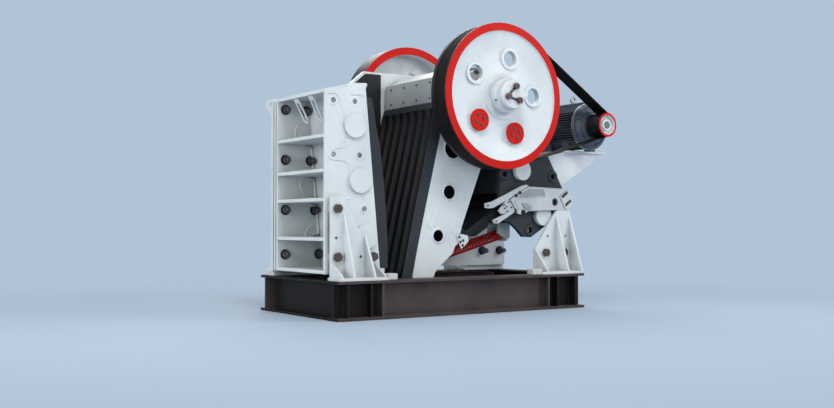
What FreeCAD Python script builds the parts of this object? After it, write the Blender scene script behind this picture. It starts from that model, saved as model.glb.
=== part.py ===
"""Stationary jaw crusher, shown with its near cheek plate taken off.

Frame: millimetres, +Z up, +X from the fixed jaw towards the motor, the side without its cheek plate at -Y.
Origin: middle of the anchor-bolt pattern, on the underside of the base frame.
Every size is a cell of the sheet "Sizes"; outlines are written from a named datum point in plain numbers,
with a formula wherever a point follows another piece.
"""

import FreeCAD
import Part

import math
import os
import re

import Sketcher

SIZES = [
    ("base_length", 2900, "base frame, overall length along X"),
    ("base_width", 1560, "base frame, overall width along Y"),
    ("base_height", 350, "base frame, beam depth"),
    ("beam_flange", 200, "beam flange width"),
    ("flange_thick", 25, "beam flange thickness"),
    ("web_thick", 20, "beam web thickness"),
    ("stiffener_thick", 16, "upright plate between beam flanges"),
    ("anchor_hole_r", 17, "anchor bolt hole radius in the bottom flange"),
    ("anchor_spacing_x", 2400, "anchor bolts, spacing along X"),
    ("frame_half", 495, "half width of the two frame castings"),
    ("front_x", -1425, "front face of the fixed jaw casting"),
    ("frame_lift", 53, "castings hang this far above the base frame"),
    ("wall_thick", 32, "side wall of the fixed jaw casting"),
    ("rib_thick", 33, "cross rib of the fixed jaw casting"),
    ("panel_thick", 85, "sloping back panel of the fixed jaw casting"),
    ("frame_bolt_r", 26, "frame bolt hole radius"),
    ("front_key_r", 112, "round locating key on the fixed jaw casting"),
    ("front_key_rise", 25, "how far that key stands out"),
    ("rear_key_r", 100, "round locating key on the rear casting"),
    ("rear_key_rise", 45, "how far that key stands out"),
    ("key_gap", 1, "radial gap round a key in the cheek plate"),
    ("cheek_thick", 50, "cheek plate thickness"),
    ("edge_flange", 60, "flange on the cheek plate's front edge stands out this far"),
    ("edge_thick", 14, "thickness of that flange and its lifting lug"),
    ("liner_thick", 25, "cheek liner thickness"),
    ("bracket_thick", 25, "foot bracket plate thickness"),
    ("gusset_thick", 18, "foot bracket gusset thickness"),
    ("bracket_bolt_r", 22, "bolt hole radius in a foot bracket"),
    ("bracket_pin_r", 14, "small pin hole radius in a foot bracket"),
    ("stop_height", 58, "rubber stop block height"),
    ("shaft_x", 290, "eccentric shaft axis, X"),
    ("shaft_rise", 1730, "eccentric shaft axis above the base frame"),
    ("shaft_r", 110, "shaft radius in the bearings and swing jaw"),
    ("wheel_bore_r", 100, "shaft radius in the two wheels"),
    ("running_gap", 0.05, "radial running fit"),
    ("housing_r", 300, "main bearing housing radius"),
    ("wheel_r", 700, "flywheel radius"),
    ("wheel_face", 929, "outer face of each flywheel, distance from mid plane"),
    ("wheel_width", 239, "flywheel rim width"),
    ("rim_inner_r", 620, "inside radius of the rim"),
    ("web_recess", 58, "web lies this far inside the outer face"),
    ("web_dish", 46, "web rises this much from its windows out to the rim"),
    ("web_thick_mid", 44, "flywheel web thickness"),
    ("web_cone", 22, "web stands out this much more at the hub"),
    ("hub_ring_r", 222, "raised ring round the hub"),
    ("hub_r", 165, "hub radius"),
    ("hub_rise", 70, "hub stands out past the rim face"),
    ("cap_r", 135, "shaft end cap radius"),
    ("cap_length", 96, "shaft end cap length"),
    ("window_circle_r", 378, "radius of the circle of web windows"),
    ("window_r", 78, "web window radius"),
    ("window_rim_r", 106, "raised rim round a web window"),
    ("window_rim_rise", 14, "height of that rim"),
    ("plug_thick", 22, "balance plug thickness"),
    ("drum_r", 680, "belt seat radius of the driven wheel"),
    ("belt_centre", -820, "middle of the belt, Y"),
    ("belt_width", 160, "belt width"),
    ("belt_thick", 12, "belt thickness"),
    ("belt_gap", 0.5, "radial gap between belt and drum"),
    ("drum_margin", 5, "gap each side of the belt"),
    ("drive_ratio", 5.8, "motor turns for one turn of the flywheel"),
    ("pulley_x", 1655, "motor axis, X"),
    ("pulley_rise", 1530, "motor axis above the base frame"),
    ("pulley_flange", 13, "pulley flange height over the belt seat"),
    ("pulley_face", 15, "pulley flange thickness at the outer face"),
    ("pulley_back", 8, "pulley flange thickness at the motor"),
    ("motor_shaft_r", 37.5, "motor shaft radius"),
    ("motor_r", 238, "motor body radius"),
    ("motor_clear", 10, "gap between the motor body and its shelf"),
    ("motor_gap", 10, "gap between pulley and motor"),
    ("motor_body", 570, "length of the finned motor body"),
    ("motor_rail", 24, "flat rail stands this far above the motor body"),
    ("shelf_thick", 22, "motor shelf thickness"),
    ("bracket_plate", 28, "motor bracket plate thickness"),
    ("rear_reach", 1125, "rearmost corner of the rear casting, measured from the shaft"),
    ("rear_wall", 50, "end wall of the rear casting"),
    ("jaw_half", 480, "half width of the swing jaw"),
    ("die_near", 485, "near end of the jaw dies, distance from mid plane"),
    ("side_gap", 8, "gap between a moving die and the liner"),
    ("keeper_thick", 12, "keeper plate on the end of the swing jaw"),
    ("toggle_r", 38, "rounded end of the toggle plate"),
    ("toggle_gap", 0.3, "gap between the toggle plate and a seat"),
    ("toggle_half", 425, "half width of the toggle plate"),
    ("spring_r", 58, "tension spring outside radius"),
    ("spring_wire", 20, "tension spring wire diameter"),
    ("rod_r", 20, "tension rod radius"),
    ("spring_length", 898, "tension spring length"),
    ("seat_plate", 25, "spring seat plate thickness"),
    ("seat_half", 85, "half width of the spring seat"),
    ("arm_thick", 30, "adjuster arm thickness"),
    ("wedge_play", 3, "gap round the adjusting wedges in the casting walls"),
]

doc = FreeCAD.newDocument("jaw_crusher")
sheet = doc.addObject("Spreadsheet::Sheet", "Sizes")
for row, (alias, value, meaning) in enumerate(SIZES, start=1):
    sheet.set(f"A{row}", meaning)
    sheet.set(f"B{row}", str(value))
    sheet.setAlias(f"B{row}", alias)
doc.recompute()

ALIAS = re.compile(r"\b(" + "|".join(alias for alias, _, _ in SIZES) + r")\b")
nodes = {}


def value_of(formula):
    """Present value of a formula written with the sheet's names."""
    return float(sheet.evalExpression(str(formula)))


def bind(thing, path, formula):
    """Tie one property to the sheet."""
    thing.setExpression(path, ALIAS.sub(r"Sizes.\1", str(formula)))


def keep(name, thing):
    """Make a finished object the sub-part of that name."""
    thing.Label = name
    nodes[name] = thing
    return thing


def plane_of(body, role):
    """One of the body's own origin planes."""
    return next(part for part in body.Origin.OriginFeatures if part.Role == role)


class Profile:
    """A sketch whose every point is tied to the sheet."""

    def __init__(self, body, plane, offset, datum=("0", "0")):
        self.sketch = body.newObject("Sketcher::SketchObject", "Profile")
        self.sketch.AttachmentSupport = [(plane_of(body, plane), "")]
        self.sketch.MapMode = "FlatFace"
        bind(self.sketch, ".AttachmentOffset.Base.z", offset)
        self.datum = datum

    def place(self, point):
        """Both formulas of a point given from the datum."""
        return [f"({start}) + ({step})" for start, step in zip(self.datum, point)]

    def fix(self, kind, geometry, corner, formula):
        """Tie one coordinate of a sketch point."""
        constraint = Sketcher.Constraint(kind, -1, 1, geometry, corner, value_of(formula))
        index = self.sketch.addConstraint(constraint)
        bind(self.sketch, f"Constraints[{index}]", formula)

    def loop(self, points):
        """Closed outline of straight edges."""
        spots = [self.place(point) for point in points]
        first = self.sketch.GeometryCount
        corners = [FreeCAD.Vector(value_of(a), value_of(b), 0) for a, b in spots]
        for start, end in zip(corners, corners[1:] + corners[:1]):
            self.sketch.addGeometry(Part.LineSegment(start, end), False)
        for step, (across, up) in enumerate(spots):
            following = first + (step + 1) % len(spots)
            self.sketch.addConstraint(Sketcher.Constraint("Coincident", first + step, 2, following, 1))
            self.fix("DistanceX", first + step, 1, across)
            self.fix("DistanceY", first + step, 1, up)

    def circle(self, centre, radius):
        """Full circle at a point."""
        across, up = self.place(centre)
        middle = FreeCAD.Vector(value_of(across), value_of(up), 0)
        index = self.sketch.addGeometry(Part.Circle(middle, FreeCAD.Vector(0, 0, 1), value_of(radius)), False)
        self.fix("DistanceX", index, 3, across)
        self.fix("DistanceY", index, 3, up)
        size = self.sketch.addConstraint(Sketcher.Constraint("Radius", index, value_of(radius)))
        bind(self.sketch, f"Constraints[{size}]", radius)


def slab(name, plane, low, high, outline, datum=("0", "0"), holes=(), windows=(), disc=None):
    """Flat piece: an outline padded from low to high along the normal of its plane.

    XZ outlines are padded along +Y, YZ outlines along +X and XY outlines along +Z.
    """
    body = doc.addObject("PartDesign::Body", name)
    along_y = plane == "XZ"
    profile = Profile(body, plane + "_Plane", f"-({low})" if along_y else low, datum)
    if disc:
        profile.circle(*disc)
    else:
        profile.loop(outline)
    for across, up, radius in holes:
        profile.circle((across, up), radius)
    for window in windows:
        profile.loop(window)
    pad = body.newObject("PartDesign::Pad", "Pad")
    pad.Profile = profile.sketch
    pad.Reversed = along_y
    bind(pad, "Length", f"({high}) - ({low})")
    body.Tip = pad
    return body


def turned(name, section, centre):
    """Turned piece: (y, radius) section spun about an axis along Y at centre (x, z)."""
    body = doc.addObject("PartDesign::Body", name)
    profile = Profile(body, "YZ_Plane", "0")
    profile.loop(section)
    spin = body.newObject("PartDesign::Revolution", "Turn")
    spin.Profile = profile.sketch
    spin.ReferenceAxis = (profile.sketch, ["H_Axis"])
    spin.Angle = 360
    body.Tip = spin
    bind(body, ".Placement.Base.x", centre[0])
    bind(body, ".Placement.Base.z", centre[1])
    return body


def block(name, low, high):
    """Rectangular piece between two corners."""
    box = doc.addObject("Part::Box", name)
    for size, axis, start, end in zip(("Length", "Width", "Height"), "xyz", low, high):
        bind(box, size, f"({end}) - ({start})")
        bind(box, f".Placement.Base.{axis}", start)
    return box


def joined(name, pieces):
    """Pieces welded or cast into one."""
    fuse = doc.addObject("Part::MultiFuse", name)
    fuse.Shapes = pieces
    fuse.Refine = True
    return fuse


def group(name, pieces):
    """Separate solids that share one node."""
    together = doc.addObject("Part::Compound", name)
    together.Links = pieces
    return together


def rear(across, up):
    """Point given from the rear casting's corner, as a point from the shaft."""
    return (f"rear_reach + {across}", f"{up} - shaft_rise")


TOGGLE_LOW = ("-85", "-1325")
TOGGLE_HIGH = ("(rear_reach - 825)", "(635 - shaft_rise)")
SLOPE = f"atan(({TOGGLE_HIGH[1]} - {TOGGLE_LOW[1]}) / ({TOGGLE_HIGH[0]} - {TOGGLE_LOW[0]}))"


def beside(spot, above, along):
    """Point off the toggle line: `above` is square to it and `along` runs up it."""
    return (f"{spot[0]} - ({above}) * sin({SLOPE}) + ({along}) * cos({SLOPE})",
            f"{spot[1]} + ({above}) * cos({SLOPE}) + ({along}) * sin({SLOPE})")


def wedge_outline(play):
    """Section of the adjusting wedges behind the upper toggle seat, with room round it."""
    return [beside(TOGGLE_HIGH, f"-85 - {play}", f"75 - {play}"),
            beside(TOGGLE_HIGH, f"-85 - {play}", f"165 + {play}"),
            beside(TOGGLE_HIGH, f"85 + {play}", f"165 + {play}"),
            beside(TOGGLE_HIGH, f"85 + {play}", f"75 - {play}")]


SPRING_FOOT = (-197, -1571)
SPRING_TILT = 15.4


def on_rod(above, along):
    """Point off the rod's axis: `above` is square to it and `along` runs up it from the swing jaw's lug."""
    return (f"{SPRING_FOOT[0]} - ({above}) * sin({SPRING_TILT}) + ({along}) * cos({SPRING_TILT})",
            f"{SPRING_FOOT[1]} + ({above}) * cos({SPRING_TILT}) + ({along}) * sin({SPRING_TILT})")


def side(sign, inner, outer):
    """Low and high Y of a layer between two distances from the mid plane, on one side."""
    return (f"-({outer})", f"-({inner})") if sign < 0 else (inner, outer)


SIDES = (("near", -1), ("far", 1))
SHAFT = ("shaft_x", "base_height + shaft_rise")
MOTOR = ("pulley_x", "base_height + pulley_rise")
FRONT = ("front_x", "base_height")
REAR = ("shaft_x + rear_reach", "base_height")
CHEEK_OUT = "frame_half + cheek_thick"
BRACKET_OUT = CHEEK_OUT + " + bracket_thick"


# ---------------------------------------------------------------- base frame

def beam_section(middle, half):
    """I section: flanges of half width `half` about `middle`, standing on the floor."""
    return [
        (f"{middle} - {half}", 0), (f"{middle} + {half}", 0),
        (f"{middle} + {half}", "flange_thick"), (f"{middle} + web_thick / 2", "flange_thick"),
        (f"{middle} + web_thick / 2", "base_height - flange_thick"),
        (f"{middle} + {half}", "base_height - flange_thick"),
        (f"{middle} + {half}", "base_height"), (f"{middle} - {half}", "base_height"),
        (f"{middle} - {half}", "base_height - flange_thick"),
        (f"{middle} - web_thick / 2", "base_height - flange_thick"),
        (f"{middle} - web_thick / 2", "flange_thick"), (f"{middle} - {half}", "flange_thick"),
    ]


STIFFENERS = (-1340, -1100, -980, 980, 1100, 1340)


def long_beam(name, sign):
    """Side beam with upright stiffeners on its outer face and two anchor holes."""
    middle = f"{sign} * (base_width / 2 - beam_flange / 2)"
    beam = slab(name + "_rolled", "YZ", "-base_length / 2", "base_length / 2",
                beam_section(middle, "beam_flange / 2"))
    inner = "base_width / 2 - beam_flange / 2 + web_thick / 2"
    plates = [beam]
    for place in STIFFENERS:
        low, high = side(sign, inner, "base_width / 2 - 6")
        along = f"base_length / 2900 * {place}"
        plates.append(block(name + "_stiffener", (f"{along} - stiffener_thick / 2", low, "flange_thick"),
                            (f"{along} + stiffener_thick / 2", high, "base_height - flange_thick")))
    welded = joined(name + "_welded", plates)
    drills = []
    for end in (-1, 1):
        drill = doc.addObject("Part::Cylinder", name + "_drill")
        bind(drill, "Radius", "anchor_hole_r")
        bind(drill, "Height", "flange_thick * 1.6")
        bind(drill, ".Placement.Base.x", f"{end} * anchor_spacing_x / 2")
        bind(drill, ".Placement.Base.y", f"{sign} * (base_width / 2 - beam_flange / 4)")
        bind(drill, ".Placement.Base.z", "-flange_thick * 0.3")
        drills.append(drill)
    cut = doc.addObject("Part::Cut", name)
    cut.Base = welded
    cut.Tool = group(name + "_drills", drills)
    return cut


for label, sign in SIDES:
    keep(f"base_beam_{label}", long_beam(f"base_beam_{label}", sign))


def cross_beam(name, sign):
    """End beam that closes the base frame between the two side beams."""
    middle = f"{sign} * (base_length / 2 - beam_flange / 2)"
    half_gap = "base_width / 2 - beam_flange"
    return slab(name, "XZ", f"-({half_gap})", half_gap, beam_section(middle, "beam_flange / 2"))


keep("base_cross_beam_front", cross_beam("base_cross_beam_front", -1))
keep("base_cross_beam_rear", cross_beam("base_cross_beam_rear", 1))


# ---------------------------------------------------------------- foot brackets

def foot_bracket(name, sign, datum, plate, holes, gussets, corner_gussets, foot):
    """Welded bracket: bolted plate, base plate and gussets that reach out to the beam's edge."""
    low, high = side(sign, CHEEK_OUT, BRACKET_OUT)
    edge = "base_width / 2 - 10"
    pieces = [slab(name + "_plate", "XZ", low, high, plate, datum, holes)]
    foot_low, foot_high = side(sign, CHEEK_OUT, edge)
    pieces.append(block(name + "_foot", (f"{datum[0]} + {foot[0]}", foot_low, "base_height"),
                        (f"{datum[0]} + {foot[1]}", foot_high, "base_height + flange_thick")))
    for place, top in gussets + corner_gussets:
        tip = f"base_height + {top}"
        shape = [(f"{sign} * ({BRACKET_OUT})", "base_height + flange_thick"),
                 (f"{sign} * ({edge} - 8)", "base_height + flange_thick"),
                 (f"{sign} * ({edge} - 8)", "base_height + flange_thick + 12"),
                 (f"{sign} * ({BRACKET_OUT} + 8)", tip), (f"{sign} * ({BRACKET_OUT})", tip)]
        pieces.append(slab(name + "_gusset", "YZ", f"{datum[0]} + {place} - gusset_thick / 2",
                           f"{datum[0]} + {place} + gusset_thick / 2", shape))
    return joined(name, pieces)


FRONT_BRACKET = dict(
    datum=FRONT,
    plate=[(18, "flange_thick"), (490, "flange_thick"), (490, 150), (137, 747), (18, 747)],
    holes=[(82, 642, "bracket_bolt_r"), (82, 208, "bracket_bolt_r"), (455, 208, "bracket_bolt_r"),
           (73, 380, "bracket_pin_r"), (328, 208, "bracket_pin_r")],
    gussets=[(155, 590), (370, 402)],
    corner_gussets=[(32, 150), (478, 140)],
    foot=(0, 500),
)
REAR_BRACKET = dict(
    datum=REAR,
    plate=[(-449, "flange_thick"), (35, "flange_thick"), (35, 645), (-160, 645), (-449, 250)],
    holes=[(-308, 213, "bracket_bolt_r"), (-62, 213, "bracket_bolt_r"),
           (-276, 382, "bracket_pin_r"), (-34, 382, "bracket_pin_r")],
    gussets=[(-157, 585), (24, 585)],
    corner_gussets=[(-438, 246)],
    foot=(-515, 38),
)
for label, sign in SIDES:
    keep(f"foot_bracket_front_{label}", foot_bracket(f"foot_bracket_front_{label}", sign, **FRONT_BRACKET))
    keep(f"foot_bracket_rear_{label}", foot_bracket(f"foot_bracket_rear_{label}", sign, **REAR_BRACKET))

stops = []
for label, sign in SIDES:
    low, high = side(sign, "base_width / 2 - 110", "base_width / 2 - 12")
    for start, end in (("front_x + 500", "front_x + 600"), (f"{REAR[0]} - 640", f"{REAR[0]} - 515")):
        stops.append(block("stop_" + label, (start, low, "base_height"),
                           (end, high, "base_height + stop_height")))
keep("rubber_stops", group("rubber_stops", stops))


# ---------------------------------------------------------------- fixed jaw casting

def seat_line(height):
    """Chamber side of the fixed jaw casting at a height over the base: leans back towards the top."""
    return f"423 + (1750 - ({height})) * 0.0942"


def panel_front(height):
    """Front of the sloping panel at the same height."""
    return f"{seat_line(height)} - panel_thick * 1.05"


FRONT_HOLES = [(82, 1623), (305, 1623), (82, 1132), (356, 1132), (407, 642), (82, 642), (82, 208), (455, 208)]
FRONT_KEYS = [(304, 1402), (360, 899), (422, 389)]
FRONT_WALL = [(0, "frame_lift"), (629, "frame_lift"), (629, 94), (seat_line(94), 94), (seat_line(1750), 1750),
              (440, 1788), (425, 1802), (260, 1790), (235, 1750), (0, 1725)]

for label, sign in SIDES:
    low, high = side(sign, "frame_half - wall_thick", "frame_half")
    wall = slab(f"front_wall_{label}_plate", "XZ", low, high, FRONT_WALL, FRONT,
                [(across, up, "frame_bolt_r") for across, up in FRONT_HOLES])
    low, high = side(sign, "frame_half - 5", "frame_half + front_key_rise")
    keys = [slab("front_key", "XZ", low, high, None, FRONT, disc=(key, "front_key_r")) for key in FRONT_KEYS]
    keep(f"front_wall_{label}", joined(f"front_wall_{label}", [wall] + keys))

INSIDE = "frame_half - wall_thick"
PANEL = [(panel_front(53), "frame_lift"), (629, "frame_lift"), (629, 94), (seat_line(94), 94),
         (seat_line(1750), 1750), (440, 1788), (425, 1802), (260, 1790), (235, 1750), (235, 1717),
         (panel_front(1717), 1717)]
keep("front_panel", slab("front_panel", "XZ", f"-({INSIDE})", INSIDE, PANEL, FRONT))

RIB_HEIGHTS = ("frame_lift", 350, 708, 971, 1286)
ribs = []
for height in RIB_HEIGHTS:
    top = f"{height} + rib_thick"
    ribs.append(slab("front_rib", "XZ", f"-({INSIDE})", INSIDE,
                     [(0, height), (panel_front(height), height), (panel_front(top), top), (0, top)], FRONT))
ribs.append(slab("front_top_flange", "XZ", f"-({INSIDE})", INSIDE,
                 [(0, "1725 - rib_thick"), (235, "1750 - rib_thick"), (235, 1750), (0, 1725)], FRONT))
keep("front_ribs", group("front_ribs", ribs))

lugs = []
for middle in (-145, 145):
    lug = slab("front_lug_bar", "XZ", middle - 28, middle + 28,
               [(40, "1729 - rib_thick"), (92, "1734 - rib_thick"), (190, 1445), (140, 1440)], FRONT)
    slot = block("front_lug_slot", ("front_x + 20", middle - 12, "base_height + 1480"),
                 ("front_x + 220", middle + 12, "base_height + 1640"))
    slotted = doc.addObject("Part::Cut", "front_lug")
    slotted.Base = lug
    slotted.Tool = slot
    lugs.append(slotted)
keep("front_lifting_lugs", group("front_lifting_lugs", lugs))

DIE_FAR = "frame_half - liner_thick - 1"
FIXED_DIE = [(seat_line(1670), 1670), (seat_line(94), 94), (673, 94), (664, 452), (645, 705), (624, 914),
             (585, 1233), (547, 1387), (525, 1530), (497, 1673)]
keep("fixed_jaw_die", slab("fixed_jaw_die", "XZ", "-die_near", DIE_FAR, FIXED_DIE, FRONT))


# ---------------------------------------------------------------- cheek plate and liners

REAR_HOLES = [(-783, 1010), (-142, 1000), (-455, 440)]
REAR_KEYS = [(-572, 1050), (-297, 590)]
SHAFT_FROM_FRONT = "shaft_x - front_x"
REAR_FROM_FRONT = f"{SHAFT_FROM_FRONT} + rear_reach"
CHEEK = [(0, "frame_lift"), (f"{REAR_FROM_FRONT} + 12", "frame_lift"), (f"{REAR_FROM_FRONT} + 12", 900),
         (f"{REAR_FROM_FRONT} - 195", 1215), (f"{SHAFT_FROM_FRONT} + 370", 1350),
         (f"{SHAFT_FROM_FRONT} + 340", 1740), (f"{SHAFT_FROM_FRONT} + 250", 1965), (SHAFT_FROM_FRONT, 2085),
         (1000, 2085), (655, 1800), (440, 1800), (235, 1750), (0, 1725)]
cheek_holes = [(across, up, "frame_bolt_r") for across, up in FRONT_HOLES]
cheek_holes += [(across, up, "front_key_r + key_gap") for across, up in FRONT_KEYS]
cheek_holes += [(f"{REAR_FROM_FRONT} + {across}", up, "frame_bolt_r") for across, up in REAR_HOLES]
cheek_holes += [(f"{REAR_FROM_FRONT} + {across}", up, "rear_key_r + key_gap") for across, up in REAR_KEYS]
cheek_holes += [(f"{REAR_FROM_FRONT} + {across}", 213, "bracket_bolt_r") for across in (-308, -62)]
cheek_holes += [("shaft_x - front_x", "shaft_rise", "shaft_r + 40")]
cheek = slab("cheek_plate", "XZ", "frame_half", CHEEK_OUT, CHEEK, FRONT, cheek_holes,
                             [[(f"shaft_x - front_x + {across}", f"shaft_rise + {up}")
                               for across, up in wedge_outline("wedge_play")]])
EDGE_START, EDGE_END = "front_x", "front_x + edge_thick"
edge_low, edge_high = "base_height + frame_lift", "base_height + 1725"
edge = slab("cheek_edge_flange", "YZ", EDGE_START, EDGE_END, [
    (CHEEK_OUT, edge_low), (f"{CHEEK_OUT} + edge_flange", edge_low),
    (f"{CHEEK_OUT} + edge_flange", edge_high), (CHEEK_OUT, edge_high)])
lug = slab("cheek_lifting_lug", "YZ", EDGE_START, EDGE_END, [
    (CHEEK_OUT, 1570), (f"{CHEEK_OUT} + 60", 1570), (f"{CHEEK_OUT} + 180", 1672),
    (f"{CHEEK_OUT} + 186", 1705), (f"{CHEEK_OUT} + 168", 1736), (CHEEK_OUT, 1736)], ("0", "base_height"),
    [(f"{CHEEK_OUT} + 82", 1690, 17)])
keep("cheek_plate_far", joined("cheek_plate_far", [cheek, edge, lug]))

UPPER_LINER = [(534, 1655), (600, 810), (1090, 810), (1185, 1350), (1190, 1655), (1190, 2060), (1010, 2060),
               (680, 1785), (450, 1785), (450, 1655)]
LOWER_LINER = [(645, 800), (690, 110), (925, 110), (1088, 800)]
liners = [slab("cheek_liner", "XZ", "frame_half - liner_thick", "frame_half", outline, FRONT)
          for outline in (UPPER_LINER, LOWER_LINER)]
keep("cheek_liners", group("cheek_liners", liners))


# ---------------------------------------------------------------- rear casting

REAR_WALL = [(-850, 830), (-790, 540), (-715, 525), (-625, 460), (-535, 375), (-435, 370), (-315, 440),
             (-215, 500), (-165, 530), (-65, 660), (0, 875), (-205, 1215), (-795, 1215), (-815, 1050)]
REAR_IN = "frame_half - rear_wall"
for label, sign in SIDES:
    low, high = side(sign, REAR_IN, "frame_half")
    wall = slab(f"rear_wall_{label}_plate", "XZ", low, high, REAR_WALL, REAR,
                [(across, up, "frame_bolt_r") for across, up in REAR_HOLES],
                [[(f"{across} - rear_reach", f"shaft_rise + {up}")
                  for across, up in wedge_outline("wedge_play")]])
    low, high = side(sign, "frame_half - 5", "frame_half + rear_key_rise")
    keys = [slab("rear_key", "XZ", low, high, None, REAR, disc=(key, "rear_key_r")) for key in REAR_KEYS]
    keep(f"rear_wall_{label}", joined(f"rear_wall_{label}", [wall] + keys))

REAR_PANELS = {
    "rear_front_panel": [(-850, 830), (-775, 830), (-740, 1050), (-720, 1215), (-795, 1215), (-815, 1050)],
    "rear_top_panel": [(-720, 1155), (-241, 1155), (-205, 1215), (-720, 1215)],
    "rear_back_panel": [(-205, 1215), (-241, 1155), (-58, 850), (0, 875)],
}
for name, outline in REAR_PANELS.items():
    keep(name, slab(name, "XZ", f"-({REAR_IN})", REAR_IN, outline, REAR))
keep("rear_cross_member", slab("rear_cross_member", "XZ", f"-({REAR_IN})", REAR_IN, [
    beside(TOGGLE_HIGH, -90, 165), rear(-555, 517), rear(-315, 517), rear(-315, 650), rear(-600, 830),
    beside(TOGGLE_HIGH, 90, 165)], SHAFT))


# ---------------------------------------------------------------- main bearings and shaft

HOUSING_OUT = "wheel_face - wheel_width - 10"
for label, sign in SIDES:
    section = [(f"{sign} * ({CHEEK_OUT})", "shaft_r + running_gap"),
               (f"{sign} * ({CHEEK_OUT})", "housing_r"),
               (f"{sign} * ({CHEEK_OUT} + 60)", "housing_r"),
               (f"{sign} * ({CHEEK_OUT} + 85)", "housing_r - 45"),
               (f"{sign} * ({HOUSING_OUT})", "housing_r - 60"),
               (f"{sign} * ({HOUSING_OUT})", "shaft_r + running_gap")]
    keep(f"bearing_housing_{label}", turned(f"bearing_housing_{label}", section, SHAFT))

WHEEL_IN = "wheel_face - wheel_width"
HUB_OUT = "wheel_face + hub_rise"
SEAT_END = f"{WHEEL_IN} + 6"
keep("eccentric_shaft", turned("eccentric_shaft", [
    (f"-({HUB_OUT})", 0), (f"-({HUB_OUT})", "wheel_bore_r"), (f"-({SEAT_END})", "wheel_bore_r"),
    (f"-({SEAT_END})", "shaft_r"), (SEAT_END, "shaft_r"), (SEAT_END, "wheel_bore_r"),
    (HUB_OUT, "wheel_bore_r"), (HUB_OUT, 0)], SHAFT))

caps = []
for label, sign in SIDES:
    inner = f"{sign} * ({HUB_OUT})"
    outer = f"{sign} * ({HUB_OUT} + cap_length)"
    caps.append(turned("cap_" + label, [(inner, 0), (inner, "cap_r"), (outer, "cap_r"), (outer, 0)], SHAFT))
keep("shaft_end_caps", group("shaft_end_caps", caps))


# ---------------------------------------------------------------- flywheels

def wheel_section(sign, seat):
    """Half section of a flywheel; `seat` lists the rim's outer surface from face to back."""
    face = "wheel_face"
    web = f"{face} - web_recess"
    proud = f"{web} + web_cone"
    def at(distance, radius):
        return (f"{sign} * ({distance})", radius)
    return ([at(HUB_OUT, "wheel_bore_r"), at(HUB_OUT, "hub_r"), at(f"{proud} + 10", "hub_r"),
             at(f"{proud} + 10", "hub_ring_r"), at(proud, "hub_ring_r + 4"), at(web, "window_circle_r + 42"),
             at(f"{web} + web_dish / 2", "window_circle_r + 152"), at(f"{web} + web_dish", "rim_inner_r"),
             at(face, "rim_inner_r + 5")]
            + [at(distance, radius) for distance, radius in seat]
            + [at(WHEEL_IN, "rim_inner_r"), at(f"{web} - web_thick_mid", "rim_inner_r - 8"),
               at(f"{proud} - web_thick_mid", "hub_ring_r"), at(f"{proud} - web_thick_mid", "hub_r + 15"),
               at(SEAT_END, "hub_r + 15"), at(SEAT_END, "wheel_bore_r")])


WINDOWS = 5
WINDOW_START = 4


def add_windows(body, sign):
    """Five rimmed round windows in the web, the first near the +X side."""
    proud = "wheel_face - web_recess + web_cone / 2 + window_rim_rise"
    across = f"window_circle_r * cos({WINDOW_START})"
    up = f"window_circle_r * sin({WINDOW_START})"
    normal_start = f"-({sign} * ({proud}))"
    rim = Profile(body, "XZ_Plane", normal_start)
    rim.circle((across, up), "window_rim_r")
    pad = body.newObject("PartDesign::Pad", "WindowRim")
    pad.Profile = rim.sketch
    pad.Reversed = sign < 0
    bind(pad, "Length", "web_thick_mid")
    turn_rim = body.newObject("PartDesign::PolarPattern", "WindowRims")
    turn_rim.Originals = [pad]
    turn_rim.Axis = (rim.sketch, ["N_Axis"])
    turn_rim.Angle = 360
    turn_rim.Occurrences = WINDOWS
    body.Tip = turn_rim
    hole = Profile(body, "XZ_Plane", f"-({sign} * ({proud} + 30))")
    hole.circle((across, up), "window_r")
    pocket = body.newObject("PartDesign::Pocket", "Window")
    pocket.Profile = hole.sketch
    pocket.Reversed = sign > 0
    bind(pocket, "Length", "web_thick_mid + web_cone + window_rim_rise + 90")
    turn_hole = body.newObject("PartDesign::PolarPattern", "Windows")
    turn_hole.Originals = [pocket]
    turn_hole.Axis = (hole.sketch, ["N_Axis"])
    turn_hole.Angle = 360
    turn_hole.Occurrences = WINDOWS
    body.Tip = turn_hole


BELT_FRONT = "-belt_centre + belt_width / 2 + drum_margin"
BELT_BACK = "-belt_centre - belt_width / 2 - drum_margin"
sheave = turned("drive_sheave", wheel_section(-1, [
    ("wheel_face", "wheel_r"), (BELT_FRONT, "wheel_r"), (BELT_FRONT, "drum_r"), (BELT_BACK, "drum_r"),
    (BELT_BACK, "wheel_r - 4"), (WHEEL_IN, "wheel_r - 4")]), SHAFT)
add_windows(sheave, -1)
keep("drive_sheave", sheave)
flywheel = turned("flywheel", wheel_section(1, [
    ("wheel_face", "wheel_r"), (WHEEL_IN, "wheel_r")]), SHAFT)
add_windows(flywheel, 1)
keep("flywheel", flywheel)

plugs = []
PLUG_FACE = "wheel_face - web_recess + web_cone / 2 + window_rim_rise"
for sign in (-1, 1):
    low, high = side(sign, PLUG_FACE, f"{PLUG_FACE} + plug_thick")
    for turn in (3, 4):
        angle = f"{WINDOW_START} + {turn * 360 // WINDOWS}"
        spot = (f"window_circle_r * cos({angle})", f"window_circle_r * sin({angle})")
        plugs.append(slab("plug", "XZ", low, high, None, SHAFT, disc=(spot, "window_rim_r - 1")))
keep("balance_plugs", group("balance_plugs", plugs))


# ---------------------------------------------------------------- swing jaw

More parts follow.
